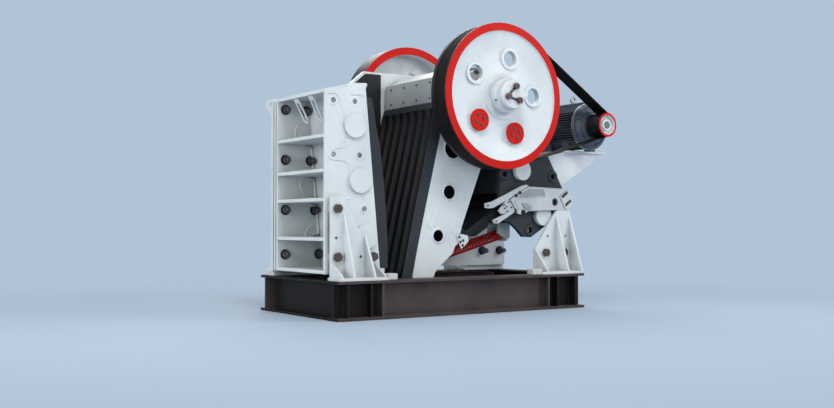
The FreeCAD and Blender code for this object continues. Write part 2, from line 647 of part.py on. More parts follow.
MOVING_FAR = f"{DIE_FAR} - side_gap"
JAW = [(-450, -380), (-490, -550), (-585, -940), (-645, -1180), (-715, -1480), (-765, -1710),
       (-765, -1745), (-535, -1745), (-515, -1730), (-500, -1690), (-450, -1640), (-290, -1510),
       (-262, -1440), (-230, -1420), (-180, -1250), (-80, -1000), (10, -780), (50, -680), (170, -400),
       (300, -190), (330, 0), (290, 160), (160, 290), (0, 330), (-270, 305), (-455, 200), (-462, -40),
       (-430, -200)]
JAW_HOLES = [(-335, -915, 67), (-468, -1340, 58), (-290, -490, 95)]
jaw_holes = [(0, 0, "shaft_r + running_gap")] + JAW_HOLES
SPRING_LUG = [(-440, -1560), (-290, -1490), (-232, -1490), on_rod(45, 0), on_rod(-45, 0), (-290, -1640),
              (-410, -1620)]
keep("swing_jaw", joined("swing_jaw", [
    slab("swing_jaw_casting", "XZ", "-jaw_half", MOVING_FAR, JAW, SHAFT, jaw_holes),
    slab("swing_jaw_lug", "XZ", -70, 70, SPRING_LUG, SHAFT)]))

MOVING_DIE = [(-450, -380), (-490, -550), (-585, -940), (-645, -1180), (-715, -1480), (-765, -1710),
              (-765, -1745), (-890, -1750), (-868, -1640), (-815, -1400), (-738, -1060), (-672, -790),
              (-600, -480), (-530, -190), (-512, -105), (-449, -105), (-430, -200)]
keep("moving_jaw_die", slab("moving_jaw_die", "XZ", "-die_near", MOVING_FAR, MOVING_DIE, SHAFT))
KEEPER = [(-252, -1345), (-195, -1322), (-115, -1340), (-108, -1395), (-150, -1435), (-200, -1468)]
keep("jaw_keeper_plate", slab("jaw_keeper_plate", "XZ", "-jaw_half - keeper_thick", "-jaw_half", KEEPER, SHAFT))
keep("die_clamp_bar", slab("die_clamp_bar", "XZ", "-jaw_half", MOVING_FAR,
                           [(-461.6, -42), (-449, -105), (-512, -105), (-490, -42)], SHAFT))
keep("jaw_guard", slab("jaw_guard", "XZ", "-jaw_half", MOVING_FAR,
                       [(-455, 200), (-462, -40), (-482, -40), (-475, 204), (-464, 212)], SHAFT))


# ---------------------------------------------------------------- toggle group

rounded = [slab("toggle_end", "XZ", "-toggle_half", "toggle_half", None, SHAFT, disc=(spot, "toggle_r"))
           for spot in (TOGGLE_LOW, TOGGLE_HIGH)]
rounded.append(slab("toggle_web", "XZ", "-toggle_half", "toggle_half",
                    [beside(TOGGLE_LOW, "4 - toggle_r", 0), beside(TOGGLE_HIGH, "4 - toggle_r", 0),
                     beside(TOGGLE_HIGH, "toggle_r - 4", 0), beside(TOGGLE_LOW, "toggle_r - 4", 0)], SHAFT))
keep("toggle_plate", joined("toggle_plate", rounded))


def grooved(name, outline, spot):
    """Seat block with a round groove for one end of the toggle plate."""
    body = slab(name + "_block", "XZ", "-toggle_half", "toggle_half", outline, SHAFT)
    groove = slab(name + "_groove", "XZ", "-toggle_half - 5", "toggle_half + 5", None, SHAFT,
                  disc=(spot, "toggle_r + toggle_gap"))
    cut = doc.addObject("Part::Cut", name)
    cut.Base = body
    cut.Tool = groove
    return cut


keep("toggle_seat_lower", grooved("toggle_seat_lower", [
    (-230, -1420), beside(TOGGLE_LOW, -62, -2), beside(TOGGLE_LOW, 62, -2), (-180, -1250)], TOGGLE_LOW))
keep("toggle_seat_upper", grooved("toggle_seat_upper", [
    beside(TOGGLE_HIGH, -62, 2), beside(TOGGLE_HIGH, -80, 75), beside(TOGGLE_HIGH, 80, 75),
    beside(TOGGLE_HIGH, 62, 2)], TOGGLE_HIGH))
keep("adjusting_wedges", slab("adjusting_wedges", "XZ", f"-({CHEEK_OUT})", CHEEK_OUT,
                              wedge_outline(0), SHAFT))

ARM = [(-770, 755), (-705, 660), (-685, 660), (-675, 610), (-605, 600), (-535, 635), (-135, 650), (15, 660),
       (75, 740), (45, 770), (-5, 860), (-85, 875), (-515, 885), (-560, 872)]
ARM_HOLES = [(-185, 732, 40), (-605, 620, 12)]
UPPER_BAR = [(-1080, 665), (-1045, 660), (-990, 664), (-788, 756), (-560, 878), (-525, 892), (-560, 905),
             (-625, 888), (-1005, 725), (-1080, 710)]
LOWER_BAR = [(-985, 545), (-970, 512), (-925, 510), (-720, 622), (-715, 652), (-740, 645)]
GUIDE_PLATE = [(-915, 640), (-880, 605), (-760, 620), (-718, 640), (-712, 656), (-778, 752), (-806, 753)]
END_WINDOWS = [[(-100, 795), (-83, 770), (-4, 825), (-21, 850)],
               [(-53, 710), (-36, 685), (43, 740), (26, 765)]]
END_PLATE = [(-120, 790), (-60, 685), (-20, 655), (78, 742), (0, 872)]
for label, sign in SIDES:
    low, high = side(sign, CHEEK_OUT, f"{CHEEK_OUT} + arm_thick")
    keep(f"adjuster_arm_{label}", slab(f"adjuster_arm_{label}", "XZ", low, high, ARM, REAR,
                                       ARM_HOLES, END_WINDOWS))
    low, high = side(sign, f"{CHEEK_OUT} + arm_thick", f"{CHEEK_OUT} + arm_thick + 14")
    keep(f"arm_end_plate_{label}", slab(f"arm_end_plate_{label}", "XZ", low, high, END_PLATE, REAR,
                                        (), END_WINDOWS))
    low, high = side(sign, CHEEK_OUT, f"{CHEEK_OUT} + arm_thick - 4")
    bars = [slab("wedge_guide_bar", "XZ", low, high, outline, REAR) for outline in (UPPER_BAR, LOWER_BAR)]
    low, high = side(sign, CHEEK_OUT, f"{CHEEK_OUT} + arm_thick - 12")
    bars.append(slab("wedge_guide_plate", "XZ", low, high, GUIDE_PLATE, REAR))
    keep(f"wedge_guide_{label}", joined(f"wedge_guide_{label}", bars))


# ---------------------------------------------------------------- tension rod and spring

def round_bar(name, radius, start, length):
    """Cylinder along the rod's axis, starting at a distance from the lug."""
    bar = doc.addObject("Part::Cylinder", name)
    bar.Placement.Rotation = FreeCAD.Rotation(FreeCAD.Vector(0, 1, 0), 90 - SPRING_TILT)
    bind(bar, "Radius", radius)
    bind(bar, "Height", length)
    across, up = on_rod(0, start)
    bind(bar, ".Placement.Base.x", f"{SHAFT[0]} + ({across})")
    bind(bar, ".Placement.Base.z", f"{SHAFT[1]} + ({up})")
    return bar


NUT_START = "spring_length + seat_plate + 31"
keep("tension_rod", joined("tension_rod", [round_bar("rod", "rod_r", 0, f"{NUT_START} + 60"),
                                           round_bar("rod_nut", "rod_r + 18", NUT_START, "44")]))
coil = doc.addObject("Part::Cut", "tension_spring")
coil.Base = round_bar("spring_outside", "spring_r", "toggle_gap", "spring_length")
coil.Tool = round_bar("spring_inside", "spring_r - spring_wire", "-5", "spring_length + 10")
keep("tension_spring", coil)

SEAT_START = "spring_length + 2 * toggle_gap"
SEAT_SIDE = [rear(-540, 517), on_rod(43, f"{SEAT_START} - 91"), on_rod(-57, f"{SEAT_START} + 16"),
             on_rod(-62, f"{SEAT_START} + 46"), on_rod(-45, f"{SEAT_START} + 66"), rear(-380, 517)]
seat_pieces = []
for sign in (-1, 1):
    low, high = side(sign, "seat_half - 15", "seat_half")
    seat_pieces.append(slab("spring_seat_side", "XZ", low, high, SEAT_SIDE, SHAFT))
seat_pieces.append(slab("spring_seat_plate", "XZ", "-seat_half", "seat_half",
                        [on_rod(-72, SEAT_START), on_rod(-72, f"{SEAT_START} + seat_plate"),
                         on_rod(72, f"{SEAT_START} + seat_plate"), on_rod(72, SEAT_START)], SHAFT))
seat_pieces.append(slab("spring_seat_top", "XZ", "-seat_half", "seat_half",
                        [rear(-540, 499), rear(-380, 499), rear(-380, 517), rear(-540, 517)], SHAFT))
seat_cut = doc.addObject("Part::Cut", "spring_seat")
seat_cut.Base = joined("spring_seat_welded", seat_pieces)
seat_cut.Tool = round_bar("spring_seat_hole", "rod_r + 12", "spring_length - 40", "seat_plate + 90")
keep("spring_seat", seat_cut)


# ---------------------------------------------------------------- motor and drive

DRUM_GAP = "belt_gap + belt_thick / 2"
PULLEY_SEAT = f"((drum_r + {DRUM_GAP}) / drive_ratio - ({DRUM_GAP}))"
PULLEY_OUT = f"({BELT_FRONT} + pulley_face)"
PULLEY_IN = f"({BELT_BACK} - pulley_back)"
PULLEY_RIM = f"{PULLEY_SEAT} + pulley_flange"
keep("motor_pulley", turned("motor_pulley", [
    (f"-{PULLEY_OUT}", f"{PULLEY_RIM} - 25"), (f"-{PULLEY_OUT}", PULLEY_RIM),
    (f"-({BELT_FRONT})", PULLEY_RIM), (f"-({BELT_FRONT})", PULLEY_SEAT),
    (f"-({BELT_BACK})", PULLEY_SEAT), (f"-({BELT_BACK})", PULLEY_RIM),
    (f"-{PULLEY_IN}", PULLEY_RIM), (f"-{PULLEY_IN}", "motor_shaft_r"),
    (f"12 - {PULLEY_OUT}", "motor_shaft_r"), (f"12 - {PULLEY_OUT}", "motor_shaft_r + 18"),
    (f"38 - {PULLEY_OUT}", "motor_shaft_r + 24"), (f"38 - {PULLEY_OUT}", f"{PULLEY_RIM} - 33")], MOTOR))
MOTOR_FRONT = f"(motor_gap - {PULLEY_IN})"
BODY_START = f"({MOTOR_FRONT} + 87)"
BODY_END = f"({BODY_START} + motor_body)"
keep("motor_shaft", turned("motor_shaft", [
    (f"6 - {PULLEY_OUT}", 0), (f"6 - {PULLEY_OUT}", "motor_shaft_r"),
    (f"{BODY_START} - 12", "motor_shaft_r"), (f"{BODY_START} - 12", 0)], MOTOR))
keep("motor_front_bell", turned("motor_front_bell", [
    (MOTOR_FRONT, "motor_shaft_r + running_gap"), (MOTOR_FRONT, 118), (f"{MOTOR_FRONT} + 12", 150),
    (f"{MOTOR_FRONT} + 50", 200), (f"{MOTOR_FRONT} + 58", "motor_r + 7"), (BODY_START, "motor_r + 7"),
    (BODY_START, "motor_shaft_r + running_gap")], MOTOR))
keep("motor_fan_cowl", turned("motor_fan_cowl", [
    (BODY_END, 0), (BODY_END, "motor_r + 2"), (f"{BODY_END} + 140", "motor_r + 2"),
    (f"{BODY_END} + 165", "motor_r - 24"), (f"{BODY_END} + 165", 0)], MOTOR))
frame_pieces = [turned("motor_core", [(BODY_START, 0), (BODY_START, "motor_r"), (BODY_END, "motor_r"),
                                      (BODY_END, 0)], MOTOR)]
frame_pieces.append(block("motor_rail", (
    f"{MOTOR[0]} - 70", BODY_START, f"{MOTOR[1]} + motor_r - 30"), (
    f"{MOTOR[0]} + 70", BODY_END, f"{MOTOR[1]} + motor_r + motor_rail")))
for across in (-228, 150):
    for along in (130, 410):
        low = (f"{MOTOR[0]} + {across}", f"{BODY_START} + {along}", f"{MOTOR[1]} - motor_r - motor_clear")
        high = (f"{low[0]} + 78", f"{low[1]} + 90", f"{low[2]} + 98")
        frame_pieces.append(block("motor_foot", low, high))
keep("motor_frame", joined("motor_frame", frame_pieces))
keep("terminal_box", block("terminal_box", (
    f"{MOTOR[0]} + motor_r", f"{BODY_START} + 190", f"{MOTOR[1]} - 70"), (
    f"{MOTOR[0]} + motor_r + 95", f"{BODY_START} + 370", f"{MOTOR[1]} + 80")))

SHELF_TOP = "pulley_rise - motor_r - motor_clear"
PLATE_TOP = f"{SHELF_TOP} - shelf_thick"
BRACKET = [(-205, 1215), (-18, 905), (459, 1175), (459, PLATE_TOP), (20, PLATE_TOP)]
bracket_pieces = [slab("motor_bracket_plate", "XZ", start, f"{start} + bracket_plate", BRACKET, REAR)
                  for start in ("5 - frame_half", -140, 212)]
bracket_pieces.append(block("motor_shelf",
                            (f"{REAR[0]} + 15", "-frame_half - 25", f"base_height + {PLATE_TOP}"),
                            (f"{REAR[0]} + 598", "265", f"base_height + {SHELF_TOP}")))
keep("motor_bracket", joined("motor_bracket", bracket_pieces))


def belt_edge(outset):
    """Closed line round both belt seats: two arcs and the two straight runs that touch them."""
    shaft = FreeCAD.Vector(value_of(SHAFT[0]), 0, value_of(SHAFT[1]))
    motor = FreeCAD.Vector(value_of(MOTOR[0]), 0, value_of(MOTOR[1]))
    big = value_of("drum_r + belt_gap") + outset
    small = value_of(PULLEY_SEAT + " + belt_gap") + outset
    run = motor - shaft
    towards = math.atan2(run.z, run.x)
    spread = math.acos((big - small) / run.Length)
    def rim(centre, radius, angle):
        return centre + FreeCAD.Vector(math.cos(angle), 0, math.sin(angle)) * radius
    up, down = towards + spread, towards - spread
    big_arc = Part.Arc(rim(shaft, big, up), rim(shaft, big, towards + math.pi), rim(shaft, big, down))
    small_arc = Part.Arc(rim(motor, small, down), rim(motor, small, towards), rim(motor, small, up))
    runs = [Part.LineSegment(rim(shaft, big, down), rim(motor, small, down)),
            Part.LineSegment(rim(motor, small, up), rim(shaft, big, up))]
    return Part.Wire([big_arc.toShape(), runs[0].toShape(), small_arc.toShape(), runs[1].toShape()])


belt = doc.addObject("Part::Feature", "drive_belt")
belt_width = value_of("belt_width")
outer_face = Part.Face(belt_edge(value_of("belt_thick")))
inner_face = Part.Face(belt_edge(0))
across = FreeCAD.Vector(0, belt_width, 0)
belt.Shape = outer_face.extrude(across).cut(inner_face.extrude(across))
belt_start = FreeCAD.Vector(0, value_of("belt_centre") - belt_width / 2, 0)
belt.Placement = FreeCAD.Placement(belt_start, FreeCAD.Rotation())
keep("drive_belt", belt)


# ---------------------------------------------------------------- checks and files

doc.recompute()
for thing in doc.Objects:
    if {"Invalid", "Error"} & set(thing.State):
        raise RuntimeError(f"{thing.Label} failed: {thing.State}")
os.makedirs("parts", exist_ok=True)
for name, thing in nodes.items():
    if thing.Shape.isNull() or not thing.Shape.isValid() or not thing.Shape.Solids:
        raise RuntimeError(f"{name} has no valid solid")
    thing.Shape.exportStep(f"parts/{name}.step")
print(f"{len(nodes)} nodes, {sum(thing.Shape.Volume for thing in nodes.values()) / 1e9:.3f} cubic metres")
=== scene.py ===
"""Looks of a stationary jaw crusher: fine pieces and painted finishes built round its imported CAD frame.

Metres, in the CAD frame: +Z up, +X from the fixed jaw to the motor, -Y towards the open side of the machine.
New pieces are surfaces worked out with numpy: outlines carried along paths or turned round an axis.
"""
import logging
import math
from dataclasses import dataclass
from enum import Enum
from typing import Callable, Iterable, Sequence

import bmesh
import bpy
import numpy as np
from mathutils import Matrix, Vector


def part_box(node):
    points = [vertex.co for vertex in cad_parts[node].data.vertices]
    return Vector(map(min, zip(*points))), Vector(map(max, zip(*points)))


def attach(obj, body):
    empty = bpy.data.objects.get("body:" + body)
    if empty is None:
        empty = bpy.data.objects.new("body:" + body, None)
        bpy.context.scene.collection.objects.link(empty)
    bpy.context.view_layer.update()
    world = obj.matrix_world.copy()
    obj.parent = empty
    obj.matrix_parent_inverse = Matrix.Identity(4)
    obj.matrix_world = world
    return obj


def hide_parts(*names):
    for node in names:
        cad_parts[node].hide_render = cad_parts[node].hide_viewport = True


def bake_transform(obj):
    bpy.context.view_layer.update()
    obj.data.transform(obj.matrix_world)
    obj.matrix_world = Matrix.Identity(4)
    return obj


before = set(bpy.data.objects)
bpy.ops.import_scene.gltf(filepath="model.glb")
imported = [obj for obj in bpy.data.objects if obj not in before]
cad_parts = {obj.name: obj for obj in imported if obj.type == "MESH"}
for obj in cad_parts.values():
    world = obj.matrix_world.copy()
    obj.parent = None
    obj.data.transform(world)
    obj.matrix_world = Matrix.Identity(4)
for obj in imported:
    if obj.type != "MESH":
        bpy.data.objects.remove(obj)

log = logging.getLogger("jaw_crusher")
Point = tuple[float, float, float]
Pair = tuple[float, float]
Chooser = Callable[[np.ndarray, np.ndarray], np.ndarray]


class Axis(Enum):
    """Direction in which a fastener's head or a turned piece's far end looks."""

    LEFT = (-1.0, 0.0, 0.0)
    RIGHT = (1.0, 0.0, 0.0)
    NEAR = (0.0, -1.0, 0.0)
    FAR = (0.0, 1.0, 0.0)
    UP = (0.0, 0.0, 1.0)


SIDES = (("near", -1, Axis.NEAR), ("far", 1, Axis.FAR))


# ---------------------------------------------------------------- colours and finishes


def linear(hex_colour: str) -> tuple[float, float, float, float]:
    """Turn an sRGB hex colour, six digits after a hash, into Blender's linear RGBA."""
    parts = [int(hex_colour[i:i + 2], 16) / 255 for i in (1, 3, 5)]
    flat = [c / 12.92 if c <= 0.04045 else ((c + 0.055) / 1.055) ** 2.4 for c in parts]
    return (flat[0], flat[1], flat[2], 1.0)


def node(tree: bpy.types.NodeTree, kind: str, links: dict | None = None, values: dict | None = None,
         **settings: object) -> bpy.types.Node:
    """Add one shader node.

    Args:
        tree: node tree that takes the node.
        kind: Blender's node type, without "ShaderNode".
        links: input name or index to the output socket that feeds it.
        values: input name or index to a constant.
        **settings: attributes of the node itself.

    Returns:
        The new node.
    """
    made = tree.nodes.new("ShaderNode" + kind)
    for key, setting in settings.items():
        setattr(made, key, setting)
    for key, constant in (values or {}).items():
        made.inputs[key].default_value = constant
    for key, socket in (links or {}).items():
        tree.links.new(socket, made.inputs[key])
    return made


@dataclass(frozen=True)
class Finish:
    """A painted, cast, machined or moulded surface.

    The colour wanders a little over hand-wide patches, painted shade darkens the inner corners, and the edges
    carry a painted highlight. Sizes are real sizes in metres, drawn a little coarse where they would not
    show.
    The slot names the record's material slot that matches this finish.
    """

    name: str
    colour: str
    patch: str
    roughness: float = 0.42
    metallic: float = 0.0
    grain: float = 0.004
    relief: float = 0.0004
    patch_size: float = 0.35
    # Colour of the painted highlight on the edges, and the width over which edges are found.
    edge: str | None = None
    edge_highlight_width: float = 0.004
    # Colour, share and reach of the painted shade that ambient occlusion lays in corners and crevices.
    corner: str = "#3A3836"
    corner_shade_share: float = 0.35
    corner_shade_reach: float = 0.09
    sheen: float = 0.3
    brushed: bool = False
    slot: str = "dark_paint"

    def material(self) -> bpy.types.Material:
        """Make the material on first use and hand back the same one after that."""
        return bpy.data.materials.get(self.name) or self._build()

    def _build(self) -> bpy.types.Material:
        """Build the node tree and hand back the finished material."""
        made = bpy.data.materials.new(self.name)
        made.use_nodes = True
        tree = made.node_tree
        tree.nodes.clear()
        place = node(tree, "TexCoord").outputs["Object"]
        if self.brushed:
            place = node(tree, "Mapping", {"Vector": place}, {"Scale": (1.0, 0.06, 1.0)}).outputs[0]
        patches = node(tree, "TexNoise", {"Vector": place},
                       {"Scale": 1 / self.patch_size, "Detail": 4.0, "Roughness": 0.6}).outputs["Fac"]
        spread = node(tree, "MapRange", {"Value": patches}, {"From Min": 0.35, "From Max": 0.68})
        colour = node(tree, "Mix", {0: spread.outputs[0]}, {6: linear(self.colour), 7: linear(self.patch)},
                      data_type="RGBA").outputs[2]
        grain = node(tree, "TexNoise", {"Vector": place},
                     {"Scale": 1 / self.grain, "Detail": 3.0, "Roughness": 0.55}).outputs["Fac"]
        # Painted shade: ambient occlusion darkens corners and crevices towards the corner colour, broken up
        # by the patches.
        crevice = node(tree, "AmbientOcclusion", None, {"Distance": self.corner_shade_reach}, samples=4)
        shade = node(tree, "MapRange", {"Value": crevice.outputs["AO"]},
                     {"From Min": 0.9, "From Max": 0.25, "To Max": self.corner_shade_share})
        patchy_corner_shade = node(tree, "Math", {0: shade.outputs[0], 1: patches}, operation="MULTIPLY")
        colour = self._mixed(tree, patchy_corner_shade, colour, self.corner)
        # Painted highlight: the edge colour lightens the rounded edges.
        if self.edge:
            colour = self._mixed(tree, self._edges(tree, grain), colour, self.edge)
        gloss = node(tree, "MapRange", {"Value": grain},
                     {"To Min": max(self.roughness - 0.07, 0.05), "To Max": min(self.roughness + 0.09, 1.0)})
        bump = node(tree, "Bump", {"Height": grain}, {"Distance": self.relief, "Strength": 0.8})
        surface = node(tree, "BsdfPrincipled",
                       {"Base Color": colour, "Roughness": gloss.outputs[0], "Normal": bump.outputs[0]},
                       {"Metallic": self.metallic, "Specular IOR Level": self.sheen})
        node(tree, "OutputMaterial", {"Surface": surface.outputs[0]})
        return made

    def _mixed(self, tree: bpy.types.NodeTree, share: bpy.types.Node, colour: bpy.types.NodeSocket,
               other: str) -> bpy.types.NodeSocket:
        """Mix another colour, given in hex, into the colour so far by a node's first output."""
        mixed = node(tree, "Mix", {0: share.outputs[0], 6: colour}, {7: linear(other)}, data_type="RGBA")
        return mixed.outputs[2]

    def _edges(self, tree: bpy.types.NodeTree, grain: bpy.types.NodeSocket) -> bpy.types.Node:
        """Find edges for the painted highlight, where a rounded normal leaves the flat one, and let the grain
        break them up.
        """
        flat = node(tree, "NewGeometry").outputs["Normal"]
        round_normal = node(tree, "Bevel", None, {"Radius": self.edge_highlight_width}, samples=4)
        turn = node(tree, "VectorMath", {0: flat, 1: round_normal.outputs[0]}, operation="DOT_PRODUCT")
        mask = node(tree, "MapRange", {"Value": turn.outputs["Value"]},
                    {"From Min": 0.985, "From Max": 0.86, "To Max": 0.9})
        return node(tree, "Math", {0: mask.outputs[0], 1: grain}, operation="MULTIPLY")


# Sprayed two-pack enamel on sandcast steel: satin, faintly orange-peeled, with painted highlights on the
# edges.
WHITE = Finish("casting_enamel_white", "#D4DADD", "#C8CED2", 0.4, grain=0.009, relief=0.0009, edge="#FAFCFD",
               corner="#585A5A", corner_shade_share=0.9, sheen=0.35, slot="casting_paint")
# The same enamel on rolled plate: smoother, as on the adjuster's arms.
GREY = Finish("plate_enamel_grey", "#C6CCCF", "#B7BDC1", grain=0.006, edge="#F2F5F6", corner="#3E3F3F",
              corner_shade_share=0.9, slot="light_paint")
# The plate enamel drawn darker with painted shade: the jaw guard, the arms' catches and their flank sheets.
SHADED = Finish("grey_enamel_painted_shade", "#9DA3A6", "#90969A", grain=0.006, relief=0.0003, edge="#E8ECEE",
                corner="#2C2D2D", corner_shade_share=0.9, slot="light_paint")
# Primer left on the insides of the castings.
CELL = Finish("casting_primer_grey", "#D2D7D7", "#C3C8C8", 0.5, grain=0.012, relief=0.0012, edge="#FBFCFB",
              corner="#6C6D69", corner_shade_share=0.5, corner_shade_reach=0.12, slot="casting_paint")
# Dark slate enamel on a rough sandcasting.
SLATE = Finish("casting_enamel_slate", "#363A40", "#2F3338", 0.5, grain=0.008, relief=0.0011, edge="#727B84",
               corner="#0F1012", corner_shade_share=0.8, sheen=0.2)
# Slate drawn blacker with painted shade: the toggle parts deep inside, and the swing jaw's holes and rear
# faces.
SHADED_SLATE = Finish("slate_with_painted_shade", "#24272C", "#1C1E22", 0.55, grain=0.008, relief=0.0011, edge="#5B6067",
              corner="#050506", corner_shade_share=0.8, sheen=0.2)
# Brown-black chassis enamel over rolled beams, with pale painted highlights on the edges.
CHASSIS = Finish("chassis_enamel_brown", "#4C4242", "#3F3737", 0.45, grain=0.007, relief=0.0005,
                 edge="#A79C96", corner="#0A0808", corner_shade_share=0.8, sheen=0.22)
# The same enamel drawn black with painted shade, in the end bays and on the cross beams.
CHASSIS_SHADE = Finish("chassis_enamel_painted_shade", "#1B1819", "#131112", 0.5, grain=0.007, relief=0.0005,
                       edge="#6A605C", corner="#030303", corner_shade_share=0.8, sheen=0.15)
# Signal red enamel on turned faces.
RED = Finish("wheel_enamel_red", "#C4180F", "#B9140D", 0.5, grain=0.006, relief=0.0002, edge="#D2322A",
             corner="#4A0806", corner_shade_share=0.3, sheen=0.12)
# Black enamel on the wheels' turned rims.
BLACK = Finish("wheel_enamel_black", "#1D1E23", "#15161A", grain=0.005, relief=0.0003, edge="#6F645F",
               corner="#060607", corner_shade_share=0.5)
# Manganese steel as cast on the teeth that meet the stone, with painted shade, nearly black, between them.
MANGANESE = Finish("manganese_steel_cast", "#1D1E22", "#151619", 0.5, metallic=0.15, grain=0.006,
                   relief=0.0014, edge="#4A4F56", corner="#040405", corner_shade_share=0.95, slot="jaw_steel")
# The same steel along the plates' sides, ground clean and lighter.
GROUND = Finish("manganese_steel_ground", "#31363C", "#2A2F34", 0.5, metallic=0.2, grain=0.006, relief=0.0008,
                edge="#7A8189", corner="#0C0D0F", corner_shade_share=0.7)
# Brown-black oxide on hexagon heads.
OXIDE = Finish("bolt_black_oxide", "#5A4E4C", "#433A39", metallic=0.45, relief=0.0003, edge="#A59C9A",
               edge_highlight_width=0.002, corner="#0C0A0A", corner_shade_share=0.7, corner_shade_reach=0.03)
# Black washers and dark fittings; also dark sheets of painted shade in slots, eyes, grease holes and the
# grille.
JET = Finish("black_fittings_and_shade_sheets", "#222226", "#17171A", 0.4, metallic=0.3, relief=0.0003, edge="#8C8A92",
             edge_highlight_width=0.003, corner="#030303", corner_shade_share=0.9, corner_shade_reach=0.03)
# Phosphated nuts and stud ends: dark grey, with painted highlights on the edges and painted shade in the
# corners.
PHOSPHATE = Finish("nut_phosphate_grey", "#5A5A62", "#46464D", 0.34, metallic=0.4, relief=0.0002,
                   edge="#B4B3BA", edge_highlight_width=0.003, corner="#020202", corner_shade_share=1.0, corner_shade_reach=0.02)
# Zinc-plated small screws.
ZINC = Finish("screw_zinc_plate", "#A4A9AC", "#868C90", 0.32, metallic=0.7, grain=0.003, relief=0.0002,
              edge="#E6EAEC", edge_highlight_width=0.0015, corner="#1C1D1F", corner_shade_share=0.6, corner_shade_reach=0.02,
              slot="light_paint")
# Turned steel with fine feed marks.
TURNED = Finish("shaft_steel_turned", "#747A7E", "#62686C", 0.35, metallic=0.6, grain=0.003, relief=0.0002,
                corner="#2A2C2E", corner_shade_share=0.5, brushed=True, slot="machined_steel")
# Motor housing: blue-grey enamel over cast aluminium.
MOTOR = Finish("motor_enamel_blue_grey", "#515A68", "#454D5A", 0.4, grain=0.005, edge="#94A0AE",
               corner="#0A0C10", corner_shade_share=0.95, corner_shade_reach=0.035, sheen=0.35, slot="motor_paint")
# Chloroprene belt, matt with a dusty bloom.
BELT = Finish("belt_rubber_black", "#0E0E0F", "#161516", 0.65, grain=0.003, edge="#4A403B", edge_highlight_width=0.003,
              corner="#030303", corner_shade_share=0.5, sheen=0.15)
# Grey strips of painted shade in the joints between castings.
JOINT_SHADE = Finish("joint_painted_shade_grey", "#6E7377", "#63686C", 0.6, relief=0.0003, corner="#303234")
# Pale moulded rubber stops.
STOP = Finish("stop_rubber_pale", "#C2C5C3", "#B2B5B3", 0.6, corner="#4C4C4C")
# Spring wire in dark red enamel.
WIRE = Finish("spring_enamel_red", "#D8221F", "#B81A1B", 0.38, relief=0.0002, edge="#F06A62",
              edge_highlight_width=0.002, corner="#0C0102", corner_shade_share=1.0, corner_shade_reach=0.03)
# Pale trowelled screed under the machine.
SCREED = Finish("floor_screed_pale", "#AEBFD1", "#AABBCE", 0.8, grain=0.02, relief=0.0002, patch_size=3.0,
                corner_shade_share=0.0)


# ---------------------------------------------------------------- surfaces


@dataclass
class Surface:
    """Points and faces of a piece in the making."""

    points: np.ndarray
    faces: list

    def moved(self, to: Point, axis: Axis = Axis.UP, spin: float = 0.0) -> "Surface":
        """Turn the surface's own +Z to a direction, then carry it to a place.

        Args:
            to: where the surface's own origin goes.
            axis: direction that its +Z takes.
            spin: turn about that direction first, in radians.

        Returns:
            The placed copy.
        """
        ahead = np.array(axis.value)
        across = np.cross((0.0, 1.0, 0.0) if abs(ahead[1]) < 0.9 else (0.0, 0.0, 1.0), ahead)
        rows = np.array([across, np.cross(ahead, across), ahead])
        c, s = math.cos(spin), math.sin(spin)
        spun = self.points @ np.array([[c, s, 0.0], [-s, c, 0.0], [0.0, 0.0, 1.0]])
        return Surface(spun @ rows + np.array(to), self.faces)


def together(parts: Iterable[Surface]) -> Surface:
    """Put several surfaces into one, shifting each one's face numbers by the points before it."""
    parts = list(parts)
    starts = np.cumsum([0] + [len(p.points) for p in parts[:-1]])
    faces = [[i + s for i in face] for p, s in zip(parts, starts) for face in p.faces]
    return Surface(np.concatenate([p.points for p in parts]), faces)


def laid(part: Surface, spots: Iterable[Pair], origin: Pair, y: float, axis: Axis, spin: float = 0.0,
         step: float = 0.0) -> list[Surface]:
    """Copies of a part on an upright plane.

    Args:
        part: surface that looks up from its own origin.
        spots: X and Z of each copy, counted from the origin.
        origin: X and Z that the spots count from.
        y: place of the plane.
        axis: direction in which the copies look.
        spin: turn of the first copy about its own axis.
        step: further turn of each copy after it.

    Returns:
        The copies in the order of the spots.
    """
    return [part.moved((origin[0] + x, y, origin[1] + z), axis, spin + step * i)
            for i, (x, z) in enumerate(spots)]


def grid_faces(rows: int, columns: int, wrap_rows: bool, wrap_columns: bool) -> list:
    """Quads between neighbours of a grid stored row after row, wrapping round where asked."""
    i = np.arange(rows if wrap_rows else rows - 1)[:, None]
    j = np.arange(columns if wrap_columns else columns - 1)[None, :]
    after_i, after_j = (i + 1) % rows, (j + 1) % columns
    quads = (i * columns + j, i * columns + after_j, after_i * columns + after_j, after_i * columns + j)
    return np.stack([c.ravel() for c in np.broadcast_arrays(*quads)], axis=1).tolist()


def turned(profile: Sequence[Pair], segments: int = 48,
           shape: Callable[[np.ndarray, np.ndarray], np.ndarray] | None = None) -> Surface:
    """Surface of revolution: point = (r cos a, r sin a, h) for each (r, h) of the profile and each angle a.

    Args:
        profile: radius and height pairs; a radius of zero closes an end in a pole.
        segments: number of steps round the axis.
        shape: gives the radius from the angle and the profile radius, for heads that are not round.

    Returns:
        The surface, its poles still to be welded.
    """
    angle = np.arange(segments) * math.tau / segments
    radius = np.array([p[0] for p in profile])[:, None] * np.ones(segments)
    if shape:
        radius = shape(angle[None, :], radius)
    height = np.array([p[1] for p in profile])[:, None] * np.ones(segments)
    points = np.stack([radius * np.cos(angle), radius * np.sin(angle), height], axis=2).reshape(-1, 3)
    closed = abs(profile[0][0]) > 1e-9 and profile[0] == profile[-1]
    rows = len(profile) - 1 if closed else len(profile)
    return Surface(points[:rows * segments], grid_faces(rows, segments, closed, True))


def ring(profile: Sequence[Pair], segments: int) -> Surface:
    """Closed ring: the profile comes back to its first pair."""
    return turned([*profile, profile[0]], segments)


